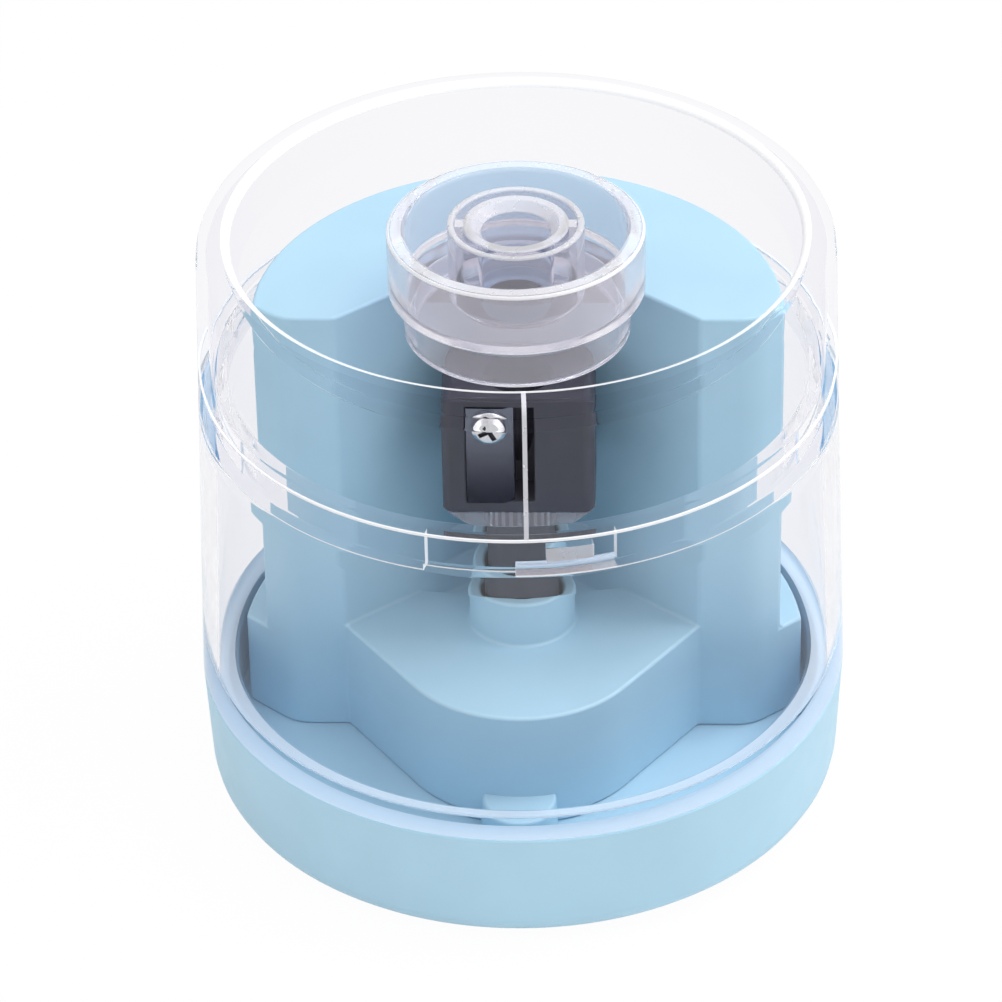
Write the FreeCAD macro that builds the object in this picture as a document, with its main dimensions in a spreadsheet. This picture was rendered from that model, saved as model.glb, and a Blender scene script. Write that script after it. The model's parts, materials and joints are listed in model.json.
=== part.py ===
import FreeCAD
import Part
import Sketcher
import math
import os

# Motor-driven desk pencil sharpener with a clear shavings bin and a twist-off clear lid.
# Millimetres, +Z up, origin on the table under the middle of the base, front towards -Y.

# A size that follows others is a formula of the sheet
SIZES = {
    # base cup: outer skirt, ring that carries the clear shell, floor of the shavings bin
    "foot_proud": 0.5,
    "base_height": 15.3,
    "base_radius": 39.0,
    "base_draft": 0.8,
    "base_foot_radius": "=base_radius - base_draft",
    "base_round": 3.3,
    "base_skirt": 4.2,
    "ring_width": 3.0,
    "floor_recess": 2.0,
    "floor_thick": 2.3,
    "foot_radius": 3.5,
    "foot_inset": 0.5,
    "foot_circle": "=base_foot_radius - base_skirt - foot_radius - foot_inset",
    "foot_rear_angle": 66.0,
    "foot_front_angle": 48.0,
    # clear lower shell with its neck and bayonet lugs
    "shell_height": 36.9,
    "shell_draft": 1.2,
    "shell_top_radius": "=base_radius - shell_draft",
    "shell_wall": 2.0,
    "shell_foot": 1.5,
    "spigot_depth": 5.5,
    "spigot_wall": 1.2,
    "spigot_gap": 0.1,
    "neck_height": 4.7,
    "neck_wall": 1.5,
    "neck_gap": 0.3,
    "neck_blend": 2.0,
    "lug_proud": 1.0,
    "lug_low": 1.3,
    "lug_tall": 1.9,
    "lug_from": 3.5,
    "lug_to": 12.0,
    # clear lid: skirt, rim, dish, bayonet pockets and the rib behind its front
    "lid_height": 22.7,
    "lid_draft": 0.7,
    "lid_top_radius": "=shell_top_radius - lid_draft",
    "lid_wall": 1.8,
    "lid_clock": 3.0,
    "rim_round": 2.4,
    "rim_solid": 1.7,
    "rim_width": 3.0,
    "crest_radius": "=lid_top_radius - rim_width",
    "crest_round": 0.7,
    "dish_slope": 3.2,
    "dish_radius": "=crest_radius - dish_slope",
    "dish_depth": 7.8,
    "dish_wall": 1.8,
    "pocket_gap": 0.3,
    "entry_angle": 18.0,
    "step_angle": 2.0,
    "pocket_angle": 16.0,
    "entry_lift": 0.7,
    "rib_thick": 0.6,
    "rib_angle": 1.3,
    "rib_gap": 0.4,
    # pencil socket and guide in the middle of the lid
    "socket_radius": 15.05,
    "socket_wall": 2.2,
    "socket_rise": 7.9,
    "socket_spigot_radius": 13.35,
    "socket_spigot_wall": 1.3,
    "socket_spigot_depth": 2.6,
    "tube_radius": 7.97,
    "tube_wall": 0.8,
    "tube_rise": 8.6,
    "guide_radius": 6.2,
    "guide_flange": 3.1,
    "guide_low": 0.1,
    "pencil_hole_radius": 4.08,
    "pencil_chamfer": 1.0,
    "key_width": 1.6,
    "key_height": 1.6,
    # motor housing: tower, plinth, platform, collar
    "plinth_gap": 0.5,
    "plinth_radius": "=base_radius - ring_width - spigot_gap - spigot_wall - plinth_gap",
    "plinth_ledge": 2.9,
    "tower_radius": "=plinth_radius - plinth_ledge",
    "tower_front": 2.1,
    "tower_wall": 1.8,
    "tower_ceiling": 2.6,
    "tower_lid_gap": 1.6,
    "face_inset": 3.3,
    "face_end": "=tower_radius - face_inset",
    "face_corner_angle": 40.0,
    "face_corner_round": 5.0,
    "plinth_height": 12.9,
    "recess_radius": 11.9,
    "recess_angle": 50.8,
    "register_gap": 0.7,
    "platform_apex": 31.7,
    "platform_radius": 15.5,
    "collar_radius": 6.4,
    "collar_wall": 1.55,
    "collar_height": 6.2,
    "tab_radius": 4.45,
    "tab_height": 3.4,
    "boss_radius": 2.5,
    "boss_inset": 0.5,
    "side_boss_x": "=tower_radius - tower_wall - boss_radius - boss_inset",
    "side_boss_height": 11.0,
    "screw_radius": 1.1,
    "screw_head_radius": 2.1,
    "screw_head_height": 1.2,
    "screw_length": 7.5,
    "screw_gap": 0.2,
    # cutter: hub, carrier, block, blade and screw
    "hub_radius": 4.4,
    "hub_clear": 3.6,
    "neck_length": 13.2,
    "carrier_height": 3.6,
    "carrier_chamfer": 2.4,
    "block_width": 18.1,
    "block_depth": 12.0,
    "block_height": 16.0,
    "block_corner": 1.5,
    "cone_tip_radius": 0.8,
    "cone_depth": 14.5,
    "blade_width": 5.6,
    "blade_length": 13.4,
    "blade_thick": 0.8,
    "blade_seat": 0.5,
    "blade_edge_x": 0.5,
    "blade_top_gap": 1.0,
    "mouth_width": 2.4,
    "mouth_depth": 4.5,
    "blade_screw_drop": 3.5,
    "blade_screw_head": 2.1,
    "blade_screw_proud": 1.1,
    "blade_screw_radius": 1.0,
    "blade_screw_length": 4.0,
    "blade_slot_reach": 1.4,
    "slot_width": 0.6,
    "slot_depth": 0.5,
    "travel": 1.5,
    # spindle and gear train
    "shaft_radius": 2.0,
    "shaft_flat": 1.5,
    "shaft_in_hub": 9.5,
    "running_gap": 0.05,
    "bush_wall": 1.4,
    "bush_flange": 1.0,
    "bush_flange_radius": 4.6,
    "gear_module": 0.5,
    "gear_backlash": 0.2,
    "output_teeth": 40,
    "idler_small_teeth": 10,
    "idler_big_teeth": 28,
    "pinion_teeth": 8,
    "gear_face": 2.5,
    "gear_gap": 0.3,
    "gear_hub_radius": 3.4,
    "axle_radius": 1.0,
    "plate_rise": 4.4,
    "plate_thick": 1.2,
    "plate_front_half": 11.0,
    "plate_rear_half": 8.0,
    "plate_margin": 1.8,
    "plate_waist": 5.0,
    "post_radius": 1.3,
    "post_gap": 0.5,
    "post_rear_x": 6.2,
    "post_rear_back": 3.1,
    "ceiling_gap": 0.6,
    # motor
    "motor_radius": 7.75,
    "motor_flat": 6.05,
    "motor_length": 20.0,
    "motor_wall": 0.8,
    "motor_cap": 2.4,
    "motor_boss_radius": 2.6,
    "motor_boss_height": 0.8,
    "armature_radius": 4.5,
    "armature_length": 11.0,
    "armature_low": 4.0,
    "armature_slot": 1.0,
    "commutator_radius": 1.9,
    "commutator_length": 3.0,
    "magnet_gap": 0.5,
    "magnet_angle": 84.0,
    "terminal_width": 1.6,
    "terminal_height": 3.0,
    "terminal_x": 4.5,
    "motor_screw_x": 4.5,
    "motor_screw_radius": 0.8,
    "motor_screw_head": 1.4,
    # return spring and start switch under the spindle
    "spring_wire": 0.5,
    "spring_radius": 3.3,
    "spring_turns": 3,
    "spring_end_gap": 0.1,
    "switch_half": 4.0,
    "switch_front": 3.6,
    "switch_back": 2.1,
    "switch_height": 2.6,
    "switch_floor": 0.2,
    "plunger_radius": 1.25,
    "plunger_proud": 1.9,
    "plunger_length": 2.6,
    # battery cells, contacts and door
    "cell_radius": 7.25,
    "cell_length": 50.5,
    "cell_x": 17.0,
    "cell_y": 13.6,
    "nub_radius": 2.7,
    "nub_height": 1.0,
    "contact_radius": 5.0,
    "contact_thick": 0.5,
    "strip_thick": 0.4,
    "strip_half_width": 3.0,
    "strip_overhang": 3.5,
    "cell_spring_wire": 0.7,
    "cell_spring_radius": 3.4,
    "cell_spring_turns": 4,
    "door_radius": 8.2,
    "door_gap": 0.3,
    "door_thick": 1.5,
    "knuckle_radius": 1.05,
    "knuckle_half": 5.0,
    "knuckle_back": 2.6,
    "hinge_pin_radius": 0.5,
    "hinge_pin_half": 8.5,
    "notch_half": 4.0,
    "notch_depth": 1.0,
    "notch_width": 2.5,
}

doc = FreeCAD.newDocument("PencilSharpener")
sheet = doc.addObject("Spreadsheet::Sheet", "Sizes")
for row, (alias, number) in enumerate(SIZES.items(), start=1):
    sheet.set(f"A{row}", alias)
    sheet.set(f"B{row}", str(number))
    sheet.setAlias(f"B{row}", alias)
doc.recompute()


class Size:
    """A number together with the spreadsheet expression that gives it."""

    def __init__(self, value, text):
        self.value = float(value)
        self.text = text

    def __add__(self, other):
        other = sized(other)
        return Size(self.value + other.value, f"({self.text} + {other.text})")

    def __sub__(self, other):
        other = sized(other)
        return Size(self.value - other.value, f"({self.text} - {other.text})")

    def __mul__(self, other):
        other = sized(other)
        return Size(self.value * other.value, f"({self.text} * {other.text})")

    def __truediv__(self, other):
        other = sized(other)
        return Size(self.value / other.value, f"({self.text} / {other.text})")

    def __radd__(self, other):
        return sized(other) + self

    def __rsub__(self, other):
        return sized(other) - self

    def __rmul__(self, other):
        return sized(other) * self

    def __rtruediv__(self, other):
        return sized(other) / self

    def __neg__(self):
        return sized(0) - self


def sized(number):
    if isinstance(number, Size):
        return number
    text = str(float(number)) if number >= 0 else f"(0 - {abs(float(number))})"
    return Size(number, text)


def sine(angle):
    return Size(math.sin(math.radians(angle.value)), f"sin({angle.text})")


def cosine(angle):
    return Size(math.cos(math.radians(angle.value)), f"cos({angle.text})")


def root(number):
    return Size(math.sqrt(number.value), f"sqrt({number.text})")


S = {alias: Size(sheet.get(alias), f"Sizes.{alias}") for alias in SIZES}
ZERO = sized(0)
OVERCUT = sized(1.0)

# Levels and shared places, worked out from the sheet

base_low = S["foot_proud"]
base_top = base_low + S["base_height"]
floor_low = base_low + S["floor_recess"]
floor_top = floor_low + S["floor_thick"]
ring_bore = S["base_radius"] - S["ring_width"]
lid_low = base_top + S["shell_height"]
neck_top = lid_low + S["neck_height"]
neck_radius = S["shell_top_radius"] - S["lid_wall"] - S["neck_gap"]
rim_top = lid_low + S["lid_height"]
dish_top = rim_top - S["dish_depth"]
dish_low = dish_top - S["dish_wall"]
tower_top = dish_low - S["tower_lid_gap"]
tower_ceiling = tower_top - S["tower_ceiling"]
tower_face = -S["tower_front"]

plate_low = floor_top + S["plate_rise"]
plate_top = plate_low + S["plate_thick"]
output_low = plate_top + S["gear_gap"]
output_top = output_low + S["gear_face"]
idler_low = output_top + S["gear_gap"]
idler_top = idler_low + S["gear_face"]
deck_low = idler_top + S["gear_gap"]
deck_top = deck_low + S["plate_thick"]
ceiling = deck_top + S["ceiling_gap"]
platform_top = ceiling + S["tower_wall"]
collar_top = platform_top + S["collar_height"]
plinth_top = floor_top + S["plinth_height"]

bush_top = platform_top + S["bush_flange"]
hub_low = bush_top + S["hub_clear"]
block_low = collar_top + S["neck_length"]
block_top = block_low + S["block_height"]
carrier_low = block_low - S["carrier_height"]
switch_top = floor_top + S["switch_height"]
plunger_top = switch_top + S["plunger_proud"]
shaft_low = plunger_top + S["running_gap"]

idler_y = S["gear_module"] * (S["output_teeth"] + S["idler_small_teeth"]) / 2
motor_y = idler_y + S["gear_module"] * (S["idler_big_teeth"] + S["pinion_teeth"]) / 2
output_tip = S["gear_module"] * (S["output_teeth"] + 2) / 2
motor_low = deck_top
motor_top = motor_low + S["motor_length"]

door_low = floor_low
door_top = door_low + S["door_thick"]
strip_top = door_top + S["strip_thick"]
contact_low = tower_ceiling - S["contact_thick"]
hinge_y = S["cell_y"] - S["door_radius"] - S["knuckle_back"]
hinge_z = (floor_low + floor_top) / 2

platform_corner = (S["recess_radius"] - tower_face * sine(S["recess_angle"])) / cosine(S["recess_angle"])
platform_rise = S["platform_apex"] + tower_face
platform_slant = root(platform_corner * platform_corner + platform_rise * platform_rise)
platform_front = S["platform_radius"] * (platform_slant / platform_corner - 1) - S["platform_apex"]

screw_spots = [
    (ZERO, platform_front + S["tower_wall"] + S["boss_radius"] - S["running_gap"]),
    (S["side_boss_x"], tower_face + S["tower_wall"] + S["boss_radius"] - S["running_gap"]),
    (-S["side_boss_x"], tower_face + S["tower_wall"] + S["boss_radius"] - S["running_gap"]),
]

BAYONETS = (0, 120, 240)
FRONT = 270
DIAGONAL = math.sqrt(0.5)
# Tooth proportions, as shares of the gear module
TOOTH_TIP = 0.8
TOOTH_ROOT = 1.2
TOOTH_FLANK = 0.6
TOOTH_SINK = 0.4
FLANK_LEAN = math.tan(math.radians(20))

nodes = []


# Building helpers

def bind(thing, **sizes):
    """Tie properties of a document object to the sheet; double underscores stand for dots."""
    for path, size in sizes.items():
        thing.setExpression(path.replace("__", "."), size.text)


def place(thing, x=ZERO, y=ZERO, z=ZERO):
    bind(thing, Placement__Base__x=sized(x), Placement__Base__y=sized(y), Placement__Base__z=sized(z))
    return thing


def node(name, thing):
    """Name a finished piece, which also names its file."""
    thing.Label = name
    nodes.append(thing)
    return thing


def cylinder(radius, low, high, x=ZERO, y=ZERO):
    rod = doc.addObject("Part::Cylinder", "Rod")
    bind(rod, Radius=radius, Height=high - low)
    return place(rod, x, y, low)


def sector(radius, low, high, start, stop):
    """A pie slice about Z between two angles that are counted from the front towards +X."""
    slice_ = cylinder(radius, low, high)
    bind(slice_, Angle=stop - start)
    bind(slice_, Placement__Rotation__Angle=start + FRONT)
    return slice_


def cross_rod(radius, half, y, z):
    """A rod along X, centred on the middle plane."""
    rod = doc.addObject("Part::Cylinder", "CrossRod")
    rod.Placement = FreeCAD.Placement(FreeCAD.Vector(), FreeCAD.Rotation(FreeCAD.Vector(0, 1, 0), 90))
    bind(rod, Radius=radius, Height=half * 2)
    return place(rod, -half, y, z)


def front_rod(radius, near, far, x, z):
    """A rod along Y that runs from the far end towards the front."""
    rod = doc.addObject("Part::Cylinder", "FrontRod")
    rod.Placement = FreeCAD.Placement(FreeCAD.Vector(), FreeCAD.Rotation(FreeCAD.Vector(1, 0, 0), 90))
    bind(rod, Radius=radius, Height=far - near)
    return place(rod, x, far, z)


def cone(low_radius, high_radius, low, high):
    taper = doc.addObject("Part::Cone", "Taper")
    bind(taper, Radius1=low_radius, Radius2=high_radius, Height=high - low)
    return place(taper, z=low)


def box(x, y, z):
    """A block between the two ends given on each axis."""
    brick = doc.addObject("Part::Box", "Brick")
    bind(brick, Length=x[1] - x[0], Width=y[1] - y[0], Height=z[1] - z[0])
    return place(brick, x[0], y[0], z[0])


def fuse(*things):
    joined = doc.addObject("Part::MultiFuse", "Fused")
    joined.Shapes = list(things)
    joined.Refine = True
    return joined


def cut(base, *tools):
    trimmed = doc.addObject("Part::Cut", "Trimmed")
    trimmed.Base = base
    trimmed.Tool = fuse(*tools) if len(tools) > 1 else tools[0]
    trimmed.Refine = True
    return trimmed


def common(*things):
    shared = doc.addObject("Part::MultiCommon", "Shared")
    shared.Shapes = list(things)
    shared.Refine = True
    return shared


def group(*things):
    """Several like pieces in one node, each its own solid."""
    several = doc.addObject("Part::Compound", "Group")
    several.Links = list(things)
    return several


def constrain(sketch, kind, *where, size):
    number = sketch.addConstraint(Sketcher.Constraint(kind, *where, size.value))
    sketch.setExpression(f"Constraints[{number}]", size.text)


def new_sketch(body, role, lift=ZERO):
    sketch = body.newObject("Sketcher::SketchObject", "Outline")
    planes = [feature for feature in body.Origin.OriginFeatures if feature.Role == role]
    sketch.AttachmentSupport = [(planes[0], "")]
    sketch.MapMode = "FlatFace"
    bind(sketch, AttachmentOffset__Base__z=lift)
    return sketch


def draw_circle(sketch, radius):
    ring = Part.Circle(FreeCAD.Vector(), FreeCAD.Vector(0, 0, 1), radius.value)
    index = sketch.addGeometry(ring, False)
    sketch.addConstraint(Sketcher.Constraint("Coincident", index, 3, -1, 1))
    constrain(sketch, "Radius", index, size=radius)


def rounded_corner(before, corner, after, radius):
    """The two tangent points, the centre and the sweep direction of a corner's arc."""
    back = (before - corner).normalize()
    ahead = (after - corner).normalize()
    half = back.getAngle(ahead) / 2
    trim = radius / math.tan(half)
    middle = corner + (back + ahead).normalize() * (radius / math.sin(half))
    turns_left = back.cross(ahead).z < 0
    return corner + back * trim, corner + ahead * trim, middle, turns_left


def draw_outline(sketch, corners):
    """A closed outline through the corners; a third size rounds a corner by that radius."""
    spots = [FreeCAD.Vector(corner[0].value, corner[1].value, 0) for corner in corners]
    count = len(corners)
    arrivals, departures, arcs = list(spots), list(spots), {}
    for i, corner in enumerate(corners):
        if len(corner) == 3:
            bend = rounded_corner(spots[i - 1], spots[i], spots[(i + 1) % count], corner[2].value)
            arrivals[i], departures[i] = bend[0], bend[1]
            arcs[i] = bend
    for i in range(count):
        sketch.addGeometry(Part.LineSegment(departures[i], arrivals[(i + 1) % count]), False)
    for i, corner in enumerate(corners):
        before = (i - 1) % count
        if i not in arcs:
            sketch.addConstraint(Sketcher.Constraint("Coincident", before, 2, i, 1))
            constrain(sketch, "DistanceX", i, 1, size=corner[0])
            constrain(sketch, "DistanceY", i, 1, size=corner[1])
            continue
        arrive, depart, middle, turns_left = arcs[i]
        first, last = (arrive, depart) if turns_left else (depart, arrive)
        angles = [math.atan2(spot.y - middle.y, spot.x - middle.x) for spot in (first, last)]
        ring = Part.Circle(middle, FreeCAD.Vector(0, 0, 1), corner[2].value)
        arc = sketch.addGeometry(Part.ArcOfCircle(ring, angles[0], angles[1]), False)
        arrive_end, depart_end = (1, 2) if turns_left else (2, 1)
        sketch.addConstraint(Sketcher.Constraint("Tangent", before, 2, arc, arrive_end))
        sketch.addConstraint(Sketcher.Constraint("Tangent", arc, depart_end, i, 1))
        constrain(sketch, "Radius", arc, size=corner[2])
        tip = sketch.addGeometry(Part.Point(spots[i]), True)
        constrain(sketch, "DistanceX", tip, 1, size=corner[0])
        constrain(sketch, "DistanceY", tip, 1, size=corner[1])
        sketch.addConstraint(Sketcher.Constraint("PointOnObject", tip, 1, before))
        sketch.addConstraint(Sketcher.Constraint("PointOnObject", tip, 1, i))


def lathe(*corners):
    """A body turned about Z from an outline of radius and height."""
    body = doc.addObject("PartDesign::Body", "Turned")
    sketch = new_sketch(body, "XZ_Plane")
    draw_outline(sketch, corners)
    turn = body.newObject("PartDesign::Revolution", "Turn")
    turn.Profile = sketch
    turn.ReferenceAxis = (sketch, ["V_Axis"])
    turn.Angle = 360
    return body


def add_pad(body, sketch, height):
    pad = body.newObject("PartDesign::Pad", "Pad")
    pad.Profile = sketch
    bind(pad, Length=height)
    return pad


def prism(low, high, *corners):
    """A body padded upwards from an outline of X and Y."""
    body = doc.addObject("PartDesign::Body", "Prism")
    sketch = new_sketch(body, "XY_Plane", low)
    draw_outline(sketch, corners)
    add_pad(body, sketch, high - low)
    return body


def spur_gear(teeth, low, high, y, first_tooth):
    """A toothed wheel about an axis on the middle plane; first_tooth is an angle from +X."""
    module = S["gear_module"]
    pitch = module * teeth / 2
    bottom = pitch - module * TOOTH_ROOT
    flank = pitch - module * TOOTH_FLANK
    tip = pitch + module * TOOTH_TIP
    half_pitch = module * (math.pi / 4) - S["gear_backlash"] / 2
    half_tip = half_pitch - module * (TOOTH_TIP * FLANK_LEAN)
    half_root = half_pitch + module * (TOOTH_FLANK * FLANK_LEAN)
    body = doc.addObject("PartDesign::Body", "Gear")
    wheel = new_sketch(body, "XY_Plane", low)
    draw_circle(wheel, bottom)
    add_pad(body, wheel, high - low)
    tooth = new_sketch(body, "XY_Plane", low)
    foot = bottom - module * TOOTH_SINK
    draw_outline(tooth, [
        (foot, -half_root), (flank, -half_root), (pitch, -half_pitch), (tip, -half_tip),
        (tip, half_tip), (pitch, half_pitch), (flank, half_root), (foot, half_root),
    ])
    single = add_pad(body, tooth, high - low)
    ring = body.newObject("PartDesign::PolarPattern", "Teeth")
    ring.Originals = [single]
    ring.Axis = (wheel, ["N_Axis"])
    ring.Angle = 360
    bind(ring, Occurrences=sized(teeth))
    body.Tip = ring
    bind(body, Placement__Base__y=sized(y), Placement__Rotation__Angle=sized(first_tooth))
    return body


def coil(low, high, radius, wire, turns, x=0.0, y=0.0):
    """A helical wire as one unbroken tube on biarcs, a quarter turn each; also its least gap."""
    span = high - low - wire
    steps = 4 * turns
    rise = span / (2 * math.pi * turns)

    def spot(angle):
        height = low + wire / 2 + rise * angle
        return FreeCAD.Vector(x + radius * math.cos(angle), y + radius * math.sin(angle), height)

    def heading(angle):
        return FreeCAD.Vector(-radius * math.sin(angle), radius * math.cos(angle), rise).normalize()

    def arc(start, control, end, direction):
        chord = end - start
        lean = direction.dot(chord) / chord.Length
        crown = control + ((start + end) * 0.5 - control) * (1 / (1 + lean))
        return Part.Arc(start, crown, end).toShape()

    edges = []
    for step in range(steps):
        a, b = step * math.pi / 2, (step + 1) * math.pi / 2
        p, q, t, u = spot(a), spot(b), heading(a), heading(b)
        way = q - p
        both = way.dot(t + u)
        open_ = 2 * (1 - t.dot(u))
        reach = (math.sqrt(both * both + open_ * way.dot(way)) - both) / open_
        first, second = p + t * reach, q - u * reach
        join = (first + second) * 0.5
        edges.append(arc(p, first, join, t))
        edges.append(arc(join, second, q, u))
    path = Part.Wire(edges)
    section = Part.Wire(Part.Circle(spot(0), heading(0), wire / 2).toShape())
    tube = path.makePipeShell([section], True, False)
    print(f"coil of {turns} turns, least gap to itself {span / turns - wire:.2f} mm")
    return tube


def shaped(shape):
    """A document object for a shape that has no feature of its own."""
    thing = doc.addObject("Part::Feature", "Wound")
    thing.Shape = shape
    return thing


# Base

def stadium(radius, low, high):
    """Two round lobes, one under each battery cell, and the strip between them."""
    left, right = -S["cell_x"], S["cell_x"]
    lobes = [cylinder(radius, low, high, x, S["cell_y"]) for x in (left, right)]
    strip = box((left, right), (S["cell_y"] - radius, S["cell_y"] + radius), (low, high))
    return fuse(strip, *lobes)


def make_base_cup():
    hollow = S["base_foot_radius"] - S["base_skirt"]
    cup = lathe(
        (ZERO, floor_low), (hollow, floor_low), (hollow, base_low),
        (S["base_foot_radius"], base_low, S["base_round"]), (S["base_radius"], base_top),
        (ring_bore, base_top), (ring_bore, floor_top), (ZERO, floor_top),
    )
    below, above = floor_low - OVERCUT, floor_top + OVERCUT
    slot_half = S["knuckle_half"] + S["door_gap"]
    slot_front = hinge_y - S["knuckle_radius"] - 2 * S["door_gap"]
    holes = [
        stadium(S["door_radius"] + S["door_gap"], below, above),
        box((-slot_half, slot_half), (slot_front, S["cell_y"]), (below, above)),
        cross_rod(S["hinge_pin_radius"], S["hinge_pin_half"], hinge_y, hinge_z),
    ]
    for x, y in screw_spots:
        seat = floor_low + S["screw_head_height"]
        holes.append(cylinder(S["screw_head_radius"] + S["screw_gap"], below, seat, x, y))
        holes.append(cylinder(S["screw_radius"] + S["screw_gap"], below, above, x, y))
    node("base_cup", cut(cup, *holes))


def make_rubber_feet():
    rear, front = S["foot_rear_angle"], S["foot_front_angle"]
    feet = []
    for angle in (rear, 180 - rear, -front, 180 + front):
        x, y = S["foot_circle"] * cosine(angle), S["foot_circle"] * sine(angle)
        feet.append(cylinder(S["foot_radius"], ZERO, floor_low, x, y))
    node("rubber_feet", group(*feet))


def cross_slots(x, y, low, high, half):
    """The two crossing cuts of a screw head that is seen from below or above."""
    thin = S["slot_width"] / 2
    return [
        box((x - half, x + half), (y - thin, y + thin), (low, high)),
        box((x - thin, x + thin), (y - half, y + half), (low, high)),
    ]


def make_housing_screws():
    screws = []
    for x, y in screw_spots:
        seat = floor_low + S["screw_head_height"]
        head = cylinder(S["screw_head_radius"], floor_low, seat, x, y)
        shank = cylinder(S["screw_radius"], floor_low, seat + S["screw_length"], x, y)
        slots = cross_slots(x, y, floor_low - OVERCUT, floor_low + S["slot_depth"], S["screw_radius"])
        screws.append(cut(fuse(head, shank), *slots))
    node("housing_screws", group(*screws))


# Motor housing

def front_cutter(grow, low, high):
    """Everything in front of the tower, with the recess that the cutter turns in."""
    radius = S["recess_radius"] + grow
    face = tower_face + grow
    corner = (radius - face * sine(S["recess_angle"])) / cosine(S["recess_angle"])
    half_bend = S["face_corner_angle"] / 2
    bend = S["face_end"] - grow * sine(half_bend) / cosine(half_bend)
    reach = S["plinth_radius"] + 2 * OVERCUT
    edge = face + (reach - bend) * sine(S["face_corner_angle"]) / cosine(S["face_corner_angle"])
    return prism(
        low, high,
        (corner, face), (bend, face, S["face_corner_round"]), (reach, edge), (reach, -reach),
        (-reach, -reach), (-reach, edge), (-bend, face, S["face_corner_round"]), (-corner, face),
        (ZERO, radius / sine(S["recess_angle"]), radius),
    )


def platform_prism(grow, high, back):
    """The platform's outline, drawn in by grow, from the floor up."""
    face = tower_face + grow
    apex = grow * platform_slant / platform_corner - S["platform_apex"]
    corner = (face - apex) * platform_corner / platform_rise
    low = floor_top - OVERCUT if grow.value else floor_top
    return prism(
        low, high,
        (corner, face), (corner, back), (-corner, back), (-corner, face),
        (ZERO, apex, S["platform_radius"] - grow),
    )


def make_motor_housing():
    wall = S["tower_wall"]
    below, above = floor_top - OVERCUT, tower_top + OVERCUT
    mid_wall = S["recess_radius"] + wall / 2
    tower = cut(
        fuse(
            cylinder(S["plinth_radius"], floor_top, plinth_top),
            cylinder(S["tower_radius"], floor_top, tower_top),
        ),
        front_cutter(ZERO, below, above),
    )
    solid = fuse(
        tower,
        platform_prism(ZERO, platform_top, mid_wall),
        cylinder(S["collar_radius"], platform_top - wall / 2, collar_top),
        cylinder(S["tab_radius"], floor_top, floor_top + S["tab_height"], ZERO, platform_front),
    )
    room = fuse(
        cut(
            fuse(
                cylinder(S["plinth_radius"] - wall, below, plinth_top - wall),
                cylinder(S["tower_radius"] - wall, below, tower_ceiling),
            ),
            front_cutter(wall, below - OVERCUT, above),
        ),
        platform_prism(wall, ceiling, S["recess_radius"] + wall + OVERCUT),
    )
    bosses = [cylinder(S["boss_radius"], floor_top, ceiling + wall / 2, *screw_spots[0])]
    for spot in screw_spots[1:]:
        bosses.append(cylinder(S["boss_radius"], floor_top, floor_top + S["side_boss_height"], *spot))
    pilot_top = floor_top + S["screw_length"]
    pilots = [cylinder(S["screw_radius"], below, pilot_top, *spot) for spot in screw_spots]
    register = S["socket_spigot_radius"] + S["register_gap"]
    register_low = dish_low - S["socket_spigot_depth"] - S["register_gap"] / 2
    node("motor_housing", cut(
        fuse(cut(solid, room), *bosses),
        cylinder(S["collar_radius"] - S["collar_wall"], platform_top, collar_top + OVERCUT),
        cylinder(S["shaft_radius"] + S["bush_wall"], ceiling - OVERCUT, platform_top + OVERCUT),
        cylinder(register, register_low, above),
        *pilots,
    ))


# Clear shell and lid

def make_lower_shell():
    inner_low = S["base_radius"] - S["shell_wall"]
    inner_high = S["shell_top_radius"] - S["shell_wall"]
    spigot = ring_bore - S["spigot_gap"]
    foot_top = base_top + S["shell_foot"]
    shell = lathe(
        (S["base_radius"], base_top), (S["shell_top_radius"], lid_low), (neck_radius, lid_low),
        (neck_radius, neck_top), (neck_radius - S["neck_wall"], neck_top),
        (neck_radius - S["neck_wall"], lid_low - S["shell_wall"]),
        (inner_high, lid_low - S["shell_wall"] - S["neck_blend"]), (inner_low, foot_top),
        (spigot - S["spigot_wall"], foot_top), (spigot - S["spigot_wall"], base_top - S["spigot_depth"]),
        (spigot, base_top - S["spigot_depth"]), (spigot, base_top),
    )
    lugs = []
    for turn in BAYONETS:
        start, stop = S["lid_clock"] + S["lug_from"] + turn, S["lid_clock"] + S["lug_to"] + turn
        low = lid_low + S["lug_low"]
        slice_ = sector(neck_radius + S["lug_proud"], low, low + S["lug_tall"], start, stop)
        core = cylinder(neck_radius - S["neck_wall"] / 2, low - OVERCUT, low + S["lug_tall"] + OVERCUT)
        lugs.append(cut(slice_, core))
    node("lower_shell", fuse(shell, *lugs))


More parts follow.
